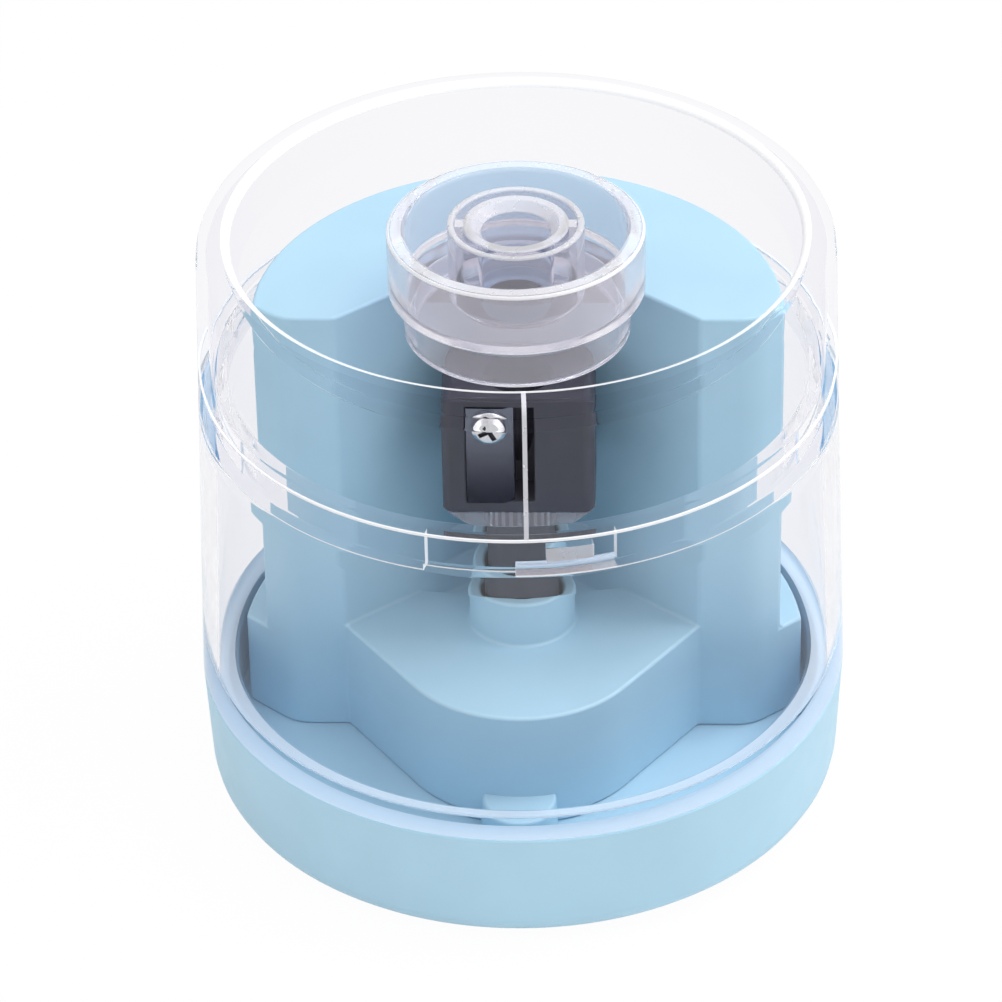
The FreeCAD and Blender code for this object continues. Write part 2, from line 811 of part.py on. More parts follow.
def make_lid():
    bore_low = S["shell_top_radius"] - S["lid_wall"]
    bore_high = S["lid_top_radius"] - S["lid_wall"]
    dish_outer = S["dish_radius"] + S["dish_wall"] * (S["crest_radius"] - S["dish_radius"]) / S["dish_depth"]
    lid = lathe(
        (S["shell_top_radius"], lid_low), (S["lid_top_radius"], rim_top, S["rim_round"]),
        (S["crest_radius"], rim_top, S["crest_round"]), (S["dish_radius"], dish_top),
        (S["socket_spigot_radius"], dish_top), (S["socket_spigot_radius"], dish_low),
        (dish_outer, dish_low), (bore_high, rim_top - S["rim_solid"]), (bore_low, lid_low),
    )
    depth = neck_radius + S["lug_proud"] + S["pocket_gap"]
    pockets = []
    for turn in BAYONETS:
        start = S["lid_clock"] - S["entry_angle"] + turn
        step = S["lid_clock"] - S["step_angle"] + turn
        stop = S["lid_clock"] + S["pocket_angle"] + turn
        run_low = lid_low + S["lug_low"] - S["pocket_gap"]
        below = lid_low - OVERCUT
        pockets.append(sector(depth, below, neck_top, start, step + S["step_angle"] / 2))
        pockets.append(sector(depth, run_low, neck_top, step, stop))
        pockets.append(sector(S["base_radius"], below, lid_low + S["entry_lift"], start, step))
    rib_top = dish_low + S["dish_wall"]
    rib_start = S["lid_clock"] - S["rib_angle"] / 2
    rib = cut(
        sector(bore_low, neck_top + S["rib_gap"], rib_top, rib_start, rib_start + S["rib_angle"]),
        cylinder(bore_high - S["rib_thick"], neck_top, rib_top + OVERCUT),
    )
    node("lid", fuse(cut(lid, *pockets), rib))


def make_pencil_socket():
    spigot_low = dish_low - S["socket_spigot_depth"]
    spigot_bore = S["socket_spigot_radius"] - S["socket_spigot_wall"]
    ring_top = dish_top + S["socket_rise"]
    ring_inner = S["socket_radius"] - S["socket_wall"]
    tube_bore = S["tube_radius"] - S["tube_wall"]
    tube_top = dish_top + S["tube_rise"]
    node("pencil_socket", lathe(
        (tube_bore, dish_low), (spigot_bore, dish_low), (spigot_bore, spigot_low),
        (S["socket_spigot_radius"], spigot_low), (S["socket_spigot_radius"], dish_top),
        (S["socket_radius"], dish_top), (S["socket_radius"], ring_top), (ring_inner, ring_top),
        (ring_inner, dish_top), (S["tube_radius"], dish_top), (S["tube_radius"], tube_top),
        (tube_bore, tube_top),
    ))


def make_pencil_guide():
    bore = S["pencil_hole_radius"]
    seat = S["tube_radius"] - S["tube_wall"]
    top = dish_top + S["tube_rise"] - S["guide_low"]
    flange_top = dish_low + S["guide_flange"]
    bush = lathe(
        (bore, dish_low), (seat, dish_low), (seat, flange_top), (S["guide_radius"], flange_top),
        (S["guide_radius"], top), (bore + S["pencil_chamfer"], top), (bore, top - S["pencil_chamfer"]),
    )
    half = S["key_width"] / 2
    inside = (bore + S["pencil_chamfer"] + S["guide_radius"]) / 2
    key_low = top - S["key_height"]
    reach = seat - 2 * S["running_gap"]
    keys = [
        box((inside, reach), (-half, half), (key_low, top - S["running_gap"])),
        box((-reach, -inside), (-half, half), (key_low, top - S["running_gap"])),
    ]
    node("pencil_guide", fuse(bush, *keys))


# Cutter

def chamfered_block(half_x, half_y, corner, low, high):
    return prism(
        low, high,
        (half_x, corner - half_y), (half_x, half_y - corner), (half_x - corner, half_y),
        (corner - half_x, half_y), (-half_x, half_y - corner), (-half_x, corner - half_y),
        (corner - half_x, -half_y), (half_x - corner, -half_y),
    )


def make_cutter():
    half_x, half_y = S["block_width"] / 2, S["block_depth"] / 2
    corner = S["block_corner"]
    block = chamfered_block(half_x, half_y, corner, block_low, block_top)
    edge = -S["blade_edge_x"]
    blade_x = (edge - S["blade_width"], edge)
    blade_z = (block_top - S["blade_top_gap"] - S["blade_length"], block_top - S["blade_top_gap"])
    seat_y = S["blade_seat"] - half_y
    screw_x = edge - S["blade_width"] / 2
    screw_z = block_top - S["blade_screw_drop"]
    bore = cone(S["cone_tip_radius"], S["pencil_hole_radius"], block_top - S["cone_depth"], block_top)
    mouth = box((edge, edge + S["mouth_width"]), (-half_y - OVERCUT, S["mouth_depth"] - half_y), blade_z)
    seat = box(blade_x, (-half_y - OVERCUT, seat_y), blade_z)
    lid_hole = cylinder(S["pencil_hole_radius"], block_top - S["running_gap"], block_top + OVERCUT)
    shank_end = seat_y + S["blade_screw_length"]
    thread = front_rod(S["blade_screw_radius"], seat_y - OVERCUT, shank_end, screw_x, screw_z)
    node("sharpener_block", cut(block, bore, mouth, seat, lid_hole, thread))

    blade_face = seat_y - S["blade_thick"]
    plate = box(blade_x, (blade_face, seat_y), blade_z)
    hole = front_rod(S["blade_screw_radius"], blade_face - OVERCUT, shank_end, screw_x, screw_z)
    node("blade", cut(plate, hole))

    head_face = blade_face - S["blade_screw_proud"]
    head = front_rod(S["blade_screw_head"], head_face, blade_face, screw_x, screw_z)
    shank = front_rod(S["blade_screw_radius"], head_face, shank_end, screw_x, screw_z)
    thin, arm = S["slot_width"] / 2, S["blade_slot_reach"]
    slot_y = (head_face - OVERCUT, head_face + S["slot_depth"])
    slots = [
        box((screw_x - thin, screw_x + thin), slot_y, (screw_z - arm, screw_z + arm)),
        box((screw_x - arm, screw_x + arm), slot_y, (screw_z - thin, screw_z + thin)),
    ]
    node("blade_screw", cut(fuse(head, shank), *slots))

    below, above = carrier_low - OVERCUT, block_low + OVERCUT
    foot = half_x - S["carrier_chamfer"]
    trim = cut(
        cylinder(S["block_width"], below, above),
        cone(foot, foot + S["carrier_height"], carrier_low, block_low),
    )
    node("cutter_carrier", cut(
        chamfered_block(half_x, half_y, corner, carrier_low, block_low),
        trim,
        cylinder(S["hub_radius"], below, above),
    ))

    hub = cylinder(S["hub_radius"], hub_low, block_low)
    node("drive_hub", cut(hub, cylinder(S["shaft_radius"], hub_low - OVERCUT, hub_low + S["shaft_in_hub"])))


# Spindle, gears and their frame

def flatted_rod(grow, low, high):
    """A round rod with a driving flat on its +X side."""
    flat = S["shaft_flat"] + grow
    side = S["shaft_radius"] * 2
    return cut(
        cylinder(S["shaft_radius"] + grow, low, high),
        box((flat, flat + side), (-side, side), (low - OVERCUT, high + OVERCUT)),
    )


def make_spindle():
    gap = S["running_gap"]
    top = hub_low + S["shaft_in_hub"]
    flat_top = idler_top + S["travel"] + S["gear_gap"]
    lower = flatted_rod(ZERO, shaft_low, flat_top)
    node("spindle_shaft", fuse(lower, cylinder(S["shaft_radius"], flat_top, top)))

    outer = S["shaft_radius"] + S["bush_wall"]
    bore = S["shaft_radius"] + gap
    node("spindle_bush", lathe(
        (bore, ceiling), (outer, ceiling), (outer, platform_top), (S["bush_flange_radius"], platform_top),
        (S["bush_flange_radius"], bush_top), (bore, bush_top),
    ))

    wheel = spur_gear(S["output_teeth"], output_low, output_top, ZERO, 90)
    boss = cylinder(S["gear_hub_radius"], output_low, idler_top)
    node("output_gear", cut(fuse(wheel, boss), flatted_rod(gap, output_low - OVERCUT, idler_top + OVERCUT)))


def make_idler():
    small_teeth = S["idler_small_teeth"]
    small = spur_gear(small_teeth, output_low, idler_low, idler_y, FRONT + 180 / small_teeth)
    big = spur_gear(S["idler_big_teeth"], idler_low, idler_top, idler_y, 90)
    bore = S["axle_radius"] + S["running_gap"]
    hole = cylinder(bore, output_low - OVERCUT, idler_top + OVERCUT, ZERO, idler_y)
    node("idler_gear", cut(fuse(small, big), hole))
    node("idler_axle", cylinder(S["axle_radius"], plate_low, deck_top, ZERO, idler_y))


def plate_outline(low, high):
    """A plate that is broad under the spindle and narrow between the battery cells."""
    broad, narrow = S["plate_front_half"], S["plate_rear_half"]
    front = -(output_tip * DIAGONAL + S["post_radius"] + S["plate_margin"])
    waist = S["plate_waist"]
    rear = motor_y + S["post_rear_back"] + S["post_radius"] + S["plate_margin"] / 2
    return prism(
        low, high,
        (broad, front), (broad, waist), (narrow, waist + broad - narrow), (narrow, rear),
        (-narrow, rear), (-narrow, waist + broad - narrow), (-broad, waist), (-broad, front),
    )


def make_gear_frame():
    corner = (output_tip + S["post_gap"] + S["post_radius"]) * DIAGONAL
    rear_y = motor_y + S["post_rear_back"]
    spots = [(corner, -corner), (-corner, -corner), (S["post_rear_x"], rear_y), (-S["post_rear_x"], rear_y)]
    posts = [cylinder(S["post_radius"], floor_top, deck_low, x, y) for x, y in spots]
    shaft_hole = S["shaft_radius"] + S["running_gap"]
    node("gear_plate", cut(
        fuse(plate_outline(plate_low, plate_top), *posts),
        cylinder(shaft_hole, plate_low - OVERCUT, plate_top + OVERCUT),
        cylinder(S["axle_radius"], plate_low - OVERCUT, plate_top + OVERCUT, ZERO, idler_y),
    ))
    below, above = deck_low - OVERCUT, deck_top + OVERCUT
    screws = [
        cylinder(S["motor_screw_radius"], below, above, x, motor_y)
        for x in (S["motor_screw_x"], -S["motor_screw_x"])
    ]
    node("motor_deck", cut(
        plate_outline(deck_low, deck_top),
        cylinder(S["shaft_radius"] + S["screw_gap"], below, above),
        cylinder(S["axle_radius"], below, above, ZERO, idler_y),
        cylinder(S["motor_boss_radius"] + S["running_gap"], below, above, ZERO, motor_y),
        *screws,
    ))


# Motor

def flat_sided(radius, flat, low, high):
    """A round can with two flats, square to Y."""
    return common(
        cylinder(radius, low, high, ZERO, motor_y),
        box((-radius, radius), (motor_y - flat, motor_y + flat), (low, high)),
    )


def make_motor():
    wall = S["motor_wall"]
    gap = S["running_gap"]
    bore = S["axle_radius"] + gap
    boss_low = motor_low - S["motor_boss_height"]
    screw_xs = (S["motor_screw_x"], -S["motor_screw_x"])
    screw_end = motor_low + wall
    tapped = [
        cylinder(S["motor_screw_radius"], motor_low - OVERCUT, screw_end + gap, x, motor_y)
        for x in screw_xs
    ]
    can = fuse(
        flat_sided(S["motor_radius"], S["motor_flat"], motor_low, motor_top),
        cylinder(S["motor_boss_radius"], boss_low, motor_low + wall, ZERO, motor_y),
    )
    node("motor_can", cut(
        can,
        flat_sided(S["motor_radius"] - wall, S["motor_flat"] - wall, motor_low + wall, motor_top + OVERCUT),
        cylinder(bore, boss_low - OVERCUT, motor_top, ZERO, motor_y),
        *tapped,
    ))

    cap_top = motor_top + S["motor_cap"]
    node("motor_end_cap", cut(
        flat_sided(S["motor_radius"], S["motor_flat"], motor_top, cap_top),
        cylinder(bore, motor_top - OVERCUT, cap_top - wall, ZERO, motor_y),
    ))
    half = S["terminal_width"] / 2
    tabs = []
    for x in (S["terminal_x"], -S["terminal_x"]):
        tabs.append(box(
            (x - half, x + half),
            (motor_y - wall / 4, motor_y + wall / 4),
            (cap_top, cap_top + S["terminal_height"]),
        ))
    node("motor_terminals", group(*tabs))

    screws = []
    for x in screw_xs:
        head_low = deck_low - S["gear_gap"]
        head = cylinder(S["motor_screw_head"], head_low, deck_low, x, motor_y)
        screws.append(fuse(head, cylinder(S["motor_screw_radius"], head_low, screw_end, x, motor_y)))
    node("motor_screws", group(*screws))

    pinion_teeth = S["pinion_teeth"]
    pinion = spur_gear(pinion_teeth, idler_low, idler_top, motor_y, FRONT + 180 / pinion_teeth)
    node("motor_pinion", cut(pinion, cylinder(S["axle_radius"], plate_low, deck_top, ZERO, motor_y)))
    shaft_end = cap_top - wall - S["gear_gap"]
    node("motor_shaft", cylinder(S["axle_radius"], idler_low, shaft_end, ZERO, motor_y))

    core_low = motor_low + S["armature_low"]
    core_top = core_low + S["armature_length"]
    core = cylinder(S["armature_radius"], core_low, core_top, ZERO, motor_y)
    commutator_top = core_top + S["commutator_length"]
    commutator = cylinder(S["commutator_radius"], core_top - gap, commutator_top, ZERO, motor_y)
    slots = []
    for turn in (sized(0), sized(120), sized(240)):
        slot = doc.addObject("Part::Box", "Slot")
        bind(slot, Length=S["armature_radius"], Width=S["armature_slot"])
        bind(slot, Height=S["armature_length"] + 2 * OVERCUT, Placement__Rotation__Angle=turn)
        start, side = (S["armature_radius"] + S["axle_radius"]) / 2, S["armature_slot"] / 2
        x = start * cosine(turn) + side * sine(turn)
        y = start * sine(turn) - side * cosine(turn)
        slots.append(place(slot, x, motor_y + y, core_low - OVERCUT))
    node("motor_armature", cut(
        fuse(core, commutator), *slots,
        cylinder(S["axle_radius"], core_low - OVERCUT, commutator_top + OVERCUT, ZERO, motor_y),
    ))

    inner = S["armature_radius"] + S["magnet_gap"]
    outer = S["motor_radius"] - wall
    half_angle = S["magnet_angle"] / 2
    magnets = []
    for middle in (90, 270):
        slab = sector(outer, core_low - gap, core_top + gap, middle - half_angle, middle + half_angle)
        place(slab, ZERO, motor_y, core_low - gap)
        magnets.append(cut(slab, cylinder(inner, core_low - OVERCUT, core_top + OVERCUT, ZERO, motor_y)))
    node("motor_magnets", group(*magnets))


# Return spring and start switch

def make_switch():
    end_gap = S["spring_end_gap"].value
    node("return_spring", shaped(coil(
        bush_top.value + end_gap, hub_low.value - end_gap, S["spring_radius"].value,
        S["spring_wire"].value, int(S["spring_turns"].value),
    )))
    half = S["switch_half"]
    well = S["plunger_radius"] + S["running_gap"]
    case = box((-half, half), (-S["switch_front"], S["switch_back"]), (floor_top, switch_top))
    node("switch_body", cut(case, cylinder(well, floor_top + S["switch_floor"], switch_top + OVERCUT)))
    node("switch_plunger", cylinder(S["plunger_radius"], plunger_top - S["plunger_length"], plunger_top))


# Batteries, contacts and door

def make_batteries():
    body = S["cell_length"] - S["nub_height"]
    left, right = -S["cell_x"], S["cell_x"]
    left_low = contact_low - S["cell_length"]
    node("battery_left", fuse(
        cylinder(S["cell_radius"], left_low, left_low + body, left, S["cell_y"]),
        cylinder(S["nub_radius"], left_low + body, contact_low, left, S["cell_y"]),
    ))
    right_top = strip_top + S["running_gap"] + S["cell_length"]
    node("battery_right", fuse(
        cylinder(S["cell_radius"], right_top - body, right_top, right, S["cell_y"]),
        cylinder(S["nub_radius"], strip_top + S["running_gap"], right_top - body, right, S["cell_y"]),
    ))
    plates = [
        cylinder(S["contact_radius"], contact_low, tower_ceiling, x, S["cell_y"])
        for x in (left, right)
    ]
    node("battery_contacts", group(*plates))

    end_gap = S["spring_end_gap"].value
    wire, turns = S["cell_spring_wire"].value, int(S["cell_spring_turns"].value)
    radius = S["cell_spring_radius"].value
    y = S["cell_y"].value
    low_spring = coil(strip_top.value, left_low.value - end_gap, radius, wire, turns, left.value, y)
    high_spring = coil(right_top.value + end_gap, contact_low.value, radius, wire, turns, right.value, y)
    node("door_spring", shaped(low_spring))
    node("top_spring", shaped(high_spring))
    end = S["cell_x"] + S["strip_overhang"]
    node("battery_strip", box(
        (-end, end), (S["cell_y"] - S["strip_half_width"], S["cell_y"] + S["strip_half_width"]),
        (door_top, strip_top),
    ))


def make_battery_door():
    half = S["knuckle_half"]
    arm = box((-half, half), (hinge_y, S["cell_y"]), (door_low, door_top))
    far = S["cell_y"] + S["door_radius"]
    notch = box(
        (-S["notch_half"], S["notch_half"]), (far - S["notch_width"], far + OVERCUT),
        (door_low - OVERCUT, door_low + S["notch_depth"]),
    )
    node("battery_door", cut(
        fuse(
            stadium(S["door_radius"], door_low, door_top), arm,
            cross_rod(S["knuckle_radius"], half, hinge_y, hinge_z),
        ),
        notch,
        cross_rod(S["hinge_pin_radius"] + S["running_gap"], half + OVERCUT, hinge_y, hinge_z),
    ))
    node("door_hinge_pin", cross_rod(S["hinge_pin_radius"], S["hinge_pin_half"], hinge_y, hinge_z))


make_base_cup()
make_rubber_feet()
make_housing_screws()
make_motor_housing()
make_lower_shell()
make_lid()
make_pencil_socket()
make_pencil_guide()
make_cutter()
make_spindle()
make_idler()
make_gear_frame()
make_motor()
make_switch()
make_batteries()
make_battery_door()
doc.recompute()

# Nothing is written until every object is sound
for thing in doc.Objects:
    if "Invalid" in thing.State or "Error" in thing.State:
        raise RuntimeError(f"{thing.Label} did not build: {thing.State}")
for piece in nodes:
    if piece.Shape.isNull() or not piece.Shape.isValid():
        raise RuntimeError(f"{piece.Label} has no sound shape")

os.makedirs("parts", exist_ok=True)
for piece in nodes:
    piece.Shape.exportStep(f"parts/{piece.Label}.step")
    print(f"{piece.Label}: {len(piece.Shape.Solids)} solid(s), {piece.Shape.Volume:.1f} mm3")
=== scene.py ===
import bmesh
import bpy
import json
import math
from bpy.props import FloatProperty, FloatVectorProperty, IntProperty, PointerProperty
from mathutils import Matrix, Vector


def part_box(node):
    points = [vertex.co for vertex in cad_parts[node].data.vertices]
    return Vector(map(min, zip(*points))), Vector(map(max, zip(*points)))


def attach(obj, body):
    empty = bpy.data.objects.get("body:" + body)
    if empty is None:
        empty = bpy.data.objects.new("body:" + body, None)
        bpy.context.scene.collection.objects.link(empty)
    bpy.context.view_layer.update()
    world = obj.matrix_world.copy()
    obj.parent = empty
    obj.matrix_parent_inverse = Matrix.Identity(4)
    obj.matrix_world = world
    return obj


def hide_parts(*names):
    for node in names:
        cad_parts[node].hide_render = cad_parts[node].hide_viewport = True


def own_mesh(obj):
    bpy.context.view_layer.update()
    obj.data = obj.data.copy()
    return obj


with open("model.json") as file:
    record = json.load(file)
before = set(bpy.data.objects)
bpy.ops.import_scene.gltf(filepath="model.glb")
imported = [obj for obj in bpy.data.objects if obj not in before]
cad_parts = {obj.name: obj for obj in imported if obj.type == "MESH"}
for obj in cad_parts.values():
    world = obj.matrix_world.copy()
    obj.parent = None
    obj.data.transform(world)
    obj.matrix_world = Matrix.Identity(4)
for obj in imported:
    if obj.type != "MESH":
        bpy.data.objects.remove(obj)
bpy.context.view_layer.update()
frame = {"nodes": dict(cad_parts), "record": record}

bl_info = {
    "name": "Desk pencil sharpener",
    "version": (1, 0, 0),
    "blender": (4, 5, 0),
    "location": "View3D > Sidebar > Sharpener",
    "description": "Dresses a motor-driven desk pencil sharpener with a clear bin and lid",
    "category": "Object",
}

MM = 0.001
FULL_TURN = 2 * math.pi
BAYONETS = 3
# Steps of a full turn, a bend, a fine bend, one turn of the spring and the smallest circle
TURN_STEPS = 240
BEND_STEPS = 5
FINE_STEPS = 8
SPRING_STEPS = 24
CIRCLE_STEPS = 16
# Length of the steps along larger curves
PITCH = MM
# Edges below the first angle are smooth, and faces below the second are one
SMOOTH_ANGLE = math.radians(32)
FLAT_ANGLE = math.radians(0.2)
MERGE = 1e-6
NEAR = 0.05 * MM
# Below this share of its normal a face counts as upright, or as lying along the radius
STEEP = 0.3
# How far a cutting body reaches past what it cuts
SPILL = MM
# Keeps clear faces from lying on each other
HAIR = 0.03 * MM
# Rays that bent more often go straight on through clear plastic
LAST_BEND = 6.5
FLOOR_HALF, FLOOR_LOW, FLOOR_TOP = 3.0, -0.002, -0.0001
LIGHT_AIM = Vector((0.0, 0.0, 0.035))
# Each softbox: the property with its power, the length of its sides and its place, in metres
SOFTBOXES = {
    "top_softbox": ("top_power", 0.8, (0.0, -0.03, 0.55)),
    "front_softbox": ("front_power", 0.5, (0.45, -0.45, 0.28)),
    "key_softbox": ("key_power", 0.35, (0.37, 0.09, 0.58)),
    "left_softbox": ("left_power", 0.5, (-0.55, -0.3, 0.2)),
}


# Values that a user may change

def metres(name, value, description):
    return FloatProperty(name=name, description=description, default=value, unit="LENGTH", precision=5)


def length(name, millimetres, description):
    return metres(name, millimetres * MM, description)


def angle(name, degrees, description):
    return FloatProperty(name=name, description=description, default=math.radians(degrees), subtype="ANGLE")


def colour(name, red, green, blue, description):
    return FloatVectorProperty(
        name=name, description=description, default=(red, green, blue), subtype="COLOR",
        min=0.0, max=1.0, size=3,
    )


def amount(name, value, description):
    return FloatProperty(name=name, description=description, default=value)


class SharpenerCase(bpy.types.PropertyGroup):
    """Sizes of the base, the clear shell and the clear lid"""

    base_radius: metres("Base radius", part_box("base_cup")[1].x, "Outer radius at the top of the base")
    base_foot: length("Base foot radius", 38.2, "Outer radius at the foot of the base")
    base_round: length("Base round", 3.3, "Round at the foot of the base")
    skirt: length("Skirt", 4.2, "Width of the rim under the base")
    ring: length("Ring", 3.0, "Width of the ring that carries the shell")
    edge: length("Edge", 0.35, "Round of the moulded edges")
    door_gap: length("Door gap", 0.3, "Gap round the battery door")
    hinge_slot: length("Hinge slot", 10.6, "Width of the slot for the door's hinge")
    screw_head: length("Screw head", 2.1, "Radius of the heads of the screws in the underside")
    screw_gap: length("Screw gap", 0.2, "Room round a screw's head")
    screw_sink: length("Screw sink", 1.2, "Depth of a screw's seat")
    shell_top: length("Shell top radius", 37.8, "Outer radius of the shell under the lid")
    shell_wall: length("Shell wall", 2.0, "Thickness of the shell's wall")
    shell_foot: length("Shell foot", 1.5, "Height of the solid foot of the shell")
    spigot_wall: length("Spigot wall", 1.2, "Wall of the spigot in the base")
    spigot_gap: length("Spigot gap", 0.1, "Play of the spigot in the base")
    neck_wall: length("Neck wall", 1.5, "Wall of the neck inside the lid")
    neck_gap: length("Neck gap", 0.3, "Play of the neck inside the lid")
    neck_blend: length("Neck blend", 2.0, "Slope under the neck on the inside")
    lug_proud: length("Lug proud", 1.0, "How far a lug stands out of the neck")
    lug_low: length("Lug low", 1.3, "Height of a lug's foot above the lid's edge")
    lug_tall: length("Lug height", 1.9, "Height of a lug")
    lug_from: angle("Lug start", 3.5, "Where a lug starts, past the lid's clock angle")
    lug_to: angle("Lug end", 12.0, "Where a lug ends, past the lid's clock angle")
    lid_clock: angle("Lid clock", 3.0, "Angle of the lid's mark, from the front towards +X")
    lid_wall: length("Lid wall", 1.8, "Thickness of the lid's wall")
    lid_top: length("Lid top radius", 37.1, "Outer radius of the lid at its rim")
    rim_round: length("Rim round", 2.4, "Round on the outside of the rim")
    rim_wall: length("Rim wall", 1.1, "Thickness of the lid at its rim")
    crest: length("Crest radius", 33.4, "Radius where the rim turns into the dish")
    crest_round: length("Crest round", 1.1, "Round where the rim turns into the dish")
    dish: length("Dish radius", 30.9, "Radius of the dish's floor")
    dish_depth: length("Dish depth", 7.8, "Depth of the dish below the rim")
    dish_wall: length("Dish wall", 1.8, "Thickness of the dish")
    dish_round: length("Dish round", 7.0, "Round between the dish's side and floor")
    entry: angle("Entry", 18.0, "How far before the clock angle a bayonet's entry starts")
    step: angle("Step", 2.0, "How far before the clock angle the entry ends")
    pocket: angle("Pocket", 16.0, "How far past the clock angle a pocket ends")
    entry_lift: length("Entry lift", 0.7, "How much higher the lid's edge is at an entry")
    pocket_gap: length("Pocket gap", 0.3, "Room round a lug in its pocket")
    rib: length("Rib", 0.52, "Width of the rib in the front of the lid")
    rib_thick: length("Rib depth", 0.5, "Depth of the rib in the front of the lid")
    rib_skin: length("Rib skin", 0.4, "Clear wall in front of the rib")
    # The track line is drawn as a painted highlight along the top of the bayonet track.
    track_line: length("Track line", 0.28, "Thickness of the line above the bayonet track")


class SharpenerSocket(bpy.types.PropertyGroup):
    """Sizes of the pencil socket and guide"""

    radius: metres("Ring radius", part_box("pencil_socket")[1].x, "Outer radius of the ring")
    wall: length("Ring wall", 2.2, "Wall of the ring")
    ring_drop: length("Ring drop", 0.7, "How far the ring stays below the tube")
    spigot: length("Spigot radius", 13.35, "Radius of the part that goes through the lid")
    spigot_wall: length("Spigot wall", 1.3, "Wall of the part that goes through the lid")
    spigot_reach: length("Spigot reach", 1.2, "How far the spigot goes on below the CAD socket")
    tube: length("Tube radius", 7.97, "Outer radius of the inner tube")
    tube_wall: length("Tube wall", 0.8, "Wall of the inner tube")
    guide: length("Guide radius", 6.2, "Outer radius of the guide")
    guide_flange: length("Guide flange", 3.1, "Height of the guide's flange")
    hole: length("Pencil hole", 4.08, "Radius of the pencil hole")
    chamfer: length("Pencil chamfer", 1.0, "Lead-in of the pencil hole")
    key_half: length("Key half width", 0.8, "Half the width of a key")
    key_tall: length("Key height", 1.6, "Height of a key")
    key_gap: length("Key gap", 0.1, "Room between a key's end and the tube")
    edge: length("Edge", 0.25, "Round of the moulded edges")


class SharpenerHousing(bpy.types.PropertyGroup):
    """Sizes of the motor housing"""

    tower: length("Tower radius", 31.3, "Radius of the tower")
    face: length("Tower face", 2.1, "How far the tower's face is in front of the spindle")
    wall: length("Wall", 1.8, "Wall of the housing")
    roof: length("Roof", 2.6, "Thickness of the tower's top")
    face_end: length("Face end", 28.0, "Half width of the tower's flat face")
    face_turn: angle("Face turn", 40.0, "How far the face turns back beside its flat")
    face_round: length("Face round", 5.0, "Round where the face turns back")
    plinth: length("Plinth radius", 34.2, "Radius of the plinth round the tower's foot")
    plinth_tall: length("Plinth height", 12.9, "Height of the plinth")
    recess: length("Recess radius", 11.9, "Radius of the recess that the cutter turns in")
    recess_turn: angle("Recess angle", 50.8, "Slope of the recess's sides")
    apex: length("Platform apex", 31.7, "Where the platform's sides would meet")
    platform: length("Platform radius", 15.5, "Round at the front of the platform")
    platform_tall: length("Platform height", 15.1, "Height of the platform")
    collar: length("Collar radius", 6.4, "Radius of the collar")
    collar_wall: length("Collar wall", 1.55, "Wall of the collar")
    collar_tall: length("Collar height", 6.2, "Height of the collar")
    bush_hole: length("Bush hole", 3.4, "Radius of the hole for the bush")
    tab: length("Tab radius", 4.45, "Radius of the tab at the platform's foot")
    tab_tall: length("Tab height", 3.4, "Height of the tab")
    register_gap: length("Register gap", 0.7, "Room round the socket's spigot")
    edge: length("Edge", 0.45, "Round of the moulded edges")


class SharpenerCutter(bpy.types.PropertyGroup):
    """Sizes of the sharpener block, its blade and screw"""

    corner: length("Corner", 1.5, "Corner of the block, from above")
    shoulder: length("Shoulder", 1.3, "Round of the block's upper corners, from the front")
    edge: length("Edge", 0.25, "Round of the block's edges")
    tip: length("Cone tip", 0.8, "Radius at the bottom of the pencil cone")
    cone: length("Cone depth", 14.5, "Depth of the pencil cone")
    mouth: length("Mouth width", 2.4, "Width of the slot where shavings leave")
    mouth_deep: length("Mouth depth", 4.5, "Depth of the slot where shavings leave")
    grind: length("Grind", 1.2, "Width of the ground edge of the blade")
    blade_round: length("Blade round", 0.15, "Round of the blade's back edge")
    screw_head: length("Screw head", 2.1, "Radius of the screw's head")
    slot: length("Screw slot", 0.6, "Width of the cross in the screw's head")
    slot_arm: length("Screw slot arm", 1.4, "Reach of the cross in the screw's head")
    slot_deep: length("Screw slot depth", 0.5, "Depth of the cross in the screw's head")
    screw_lean: angle("Screw lean", 28.0, "Turn of the cross in the screw's head")
    hub_gap: length("Hub gap", 0.02, "Room round the hub in the carrier")
    carrier_slope: length("Carrier slope", 2.4, "How much the clear carrier draws in at its foot")
    spring_wire: length("Spring wire", 0.5, "Thickness of the return spring's wire")
    spring_turns: IntProperty(name="Spring turns", description="Turns of the return spring", default=3)


class SharpenerFinish(bpy.types.PropertyGroup):
    """Colours of the finishes"""

    blue: colour("Pastel blue", 0.425, 0.662, 0.805, "Moulded base and housing")
    clear: colour("Clear", 0.968, 0.968, 0.976, "Clear shell and lid, face on")
    clear_side: colour("Clear side", 0.905, 0.905, 0.94, "Clear shell and lid, seen along the wall")
    haze: colour("Haze", 0.86, 0.85, 0.89, "Thick clear walls of the socket and guide")
    # Painted light: the pale blue stands in for the lit blue base seen through the shell's clear foot.
    foot: colour("Foot", 0.72, 0.83, 0.93, "Clear foot of the shell on the base")
    dark: colour("Charcoal", 0.05, 0.05, 0.066, "Sharpener block and hub")
    # Painted reflection: the blade goes from the blade steel colour at the top to the darker foot colour
    # below.
    blade: colour("Blade steel", 0.16, 0.175, 0.215, "Ground blade")
    blade_low: colour("Blade foot", 0.030, 0.031, 0.042, "Ground blade at its foot")
    steel: colour("Plated steel", 0.70, 0.70, 0.71, "Screws, shafts and springs")
    brass: colour("Brass", 0.70, 0.50, 0.22, "Bush, pinion and terminals")
    gear: colour("Gear white", 0.80, 0.79, 0.74, "Moulded gears")
    frame: colour("Frame black", 0.025, 0.025, 0.028, "Gear plate, deck and switch")
    magnet: colour("Magnet grey", 0.045, 0.045, 0.05, "Motor magnets")
    rubber: colour("Rubber grey", 0.26, 0.27, 0.29, "Feet")
    cell: colour("Cell jacket", 0.10, 0.13, 0.18, "Sleeve of the battery cells")


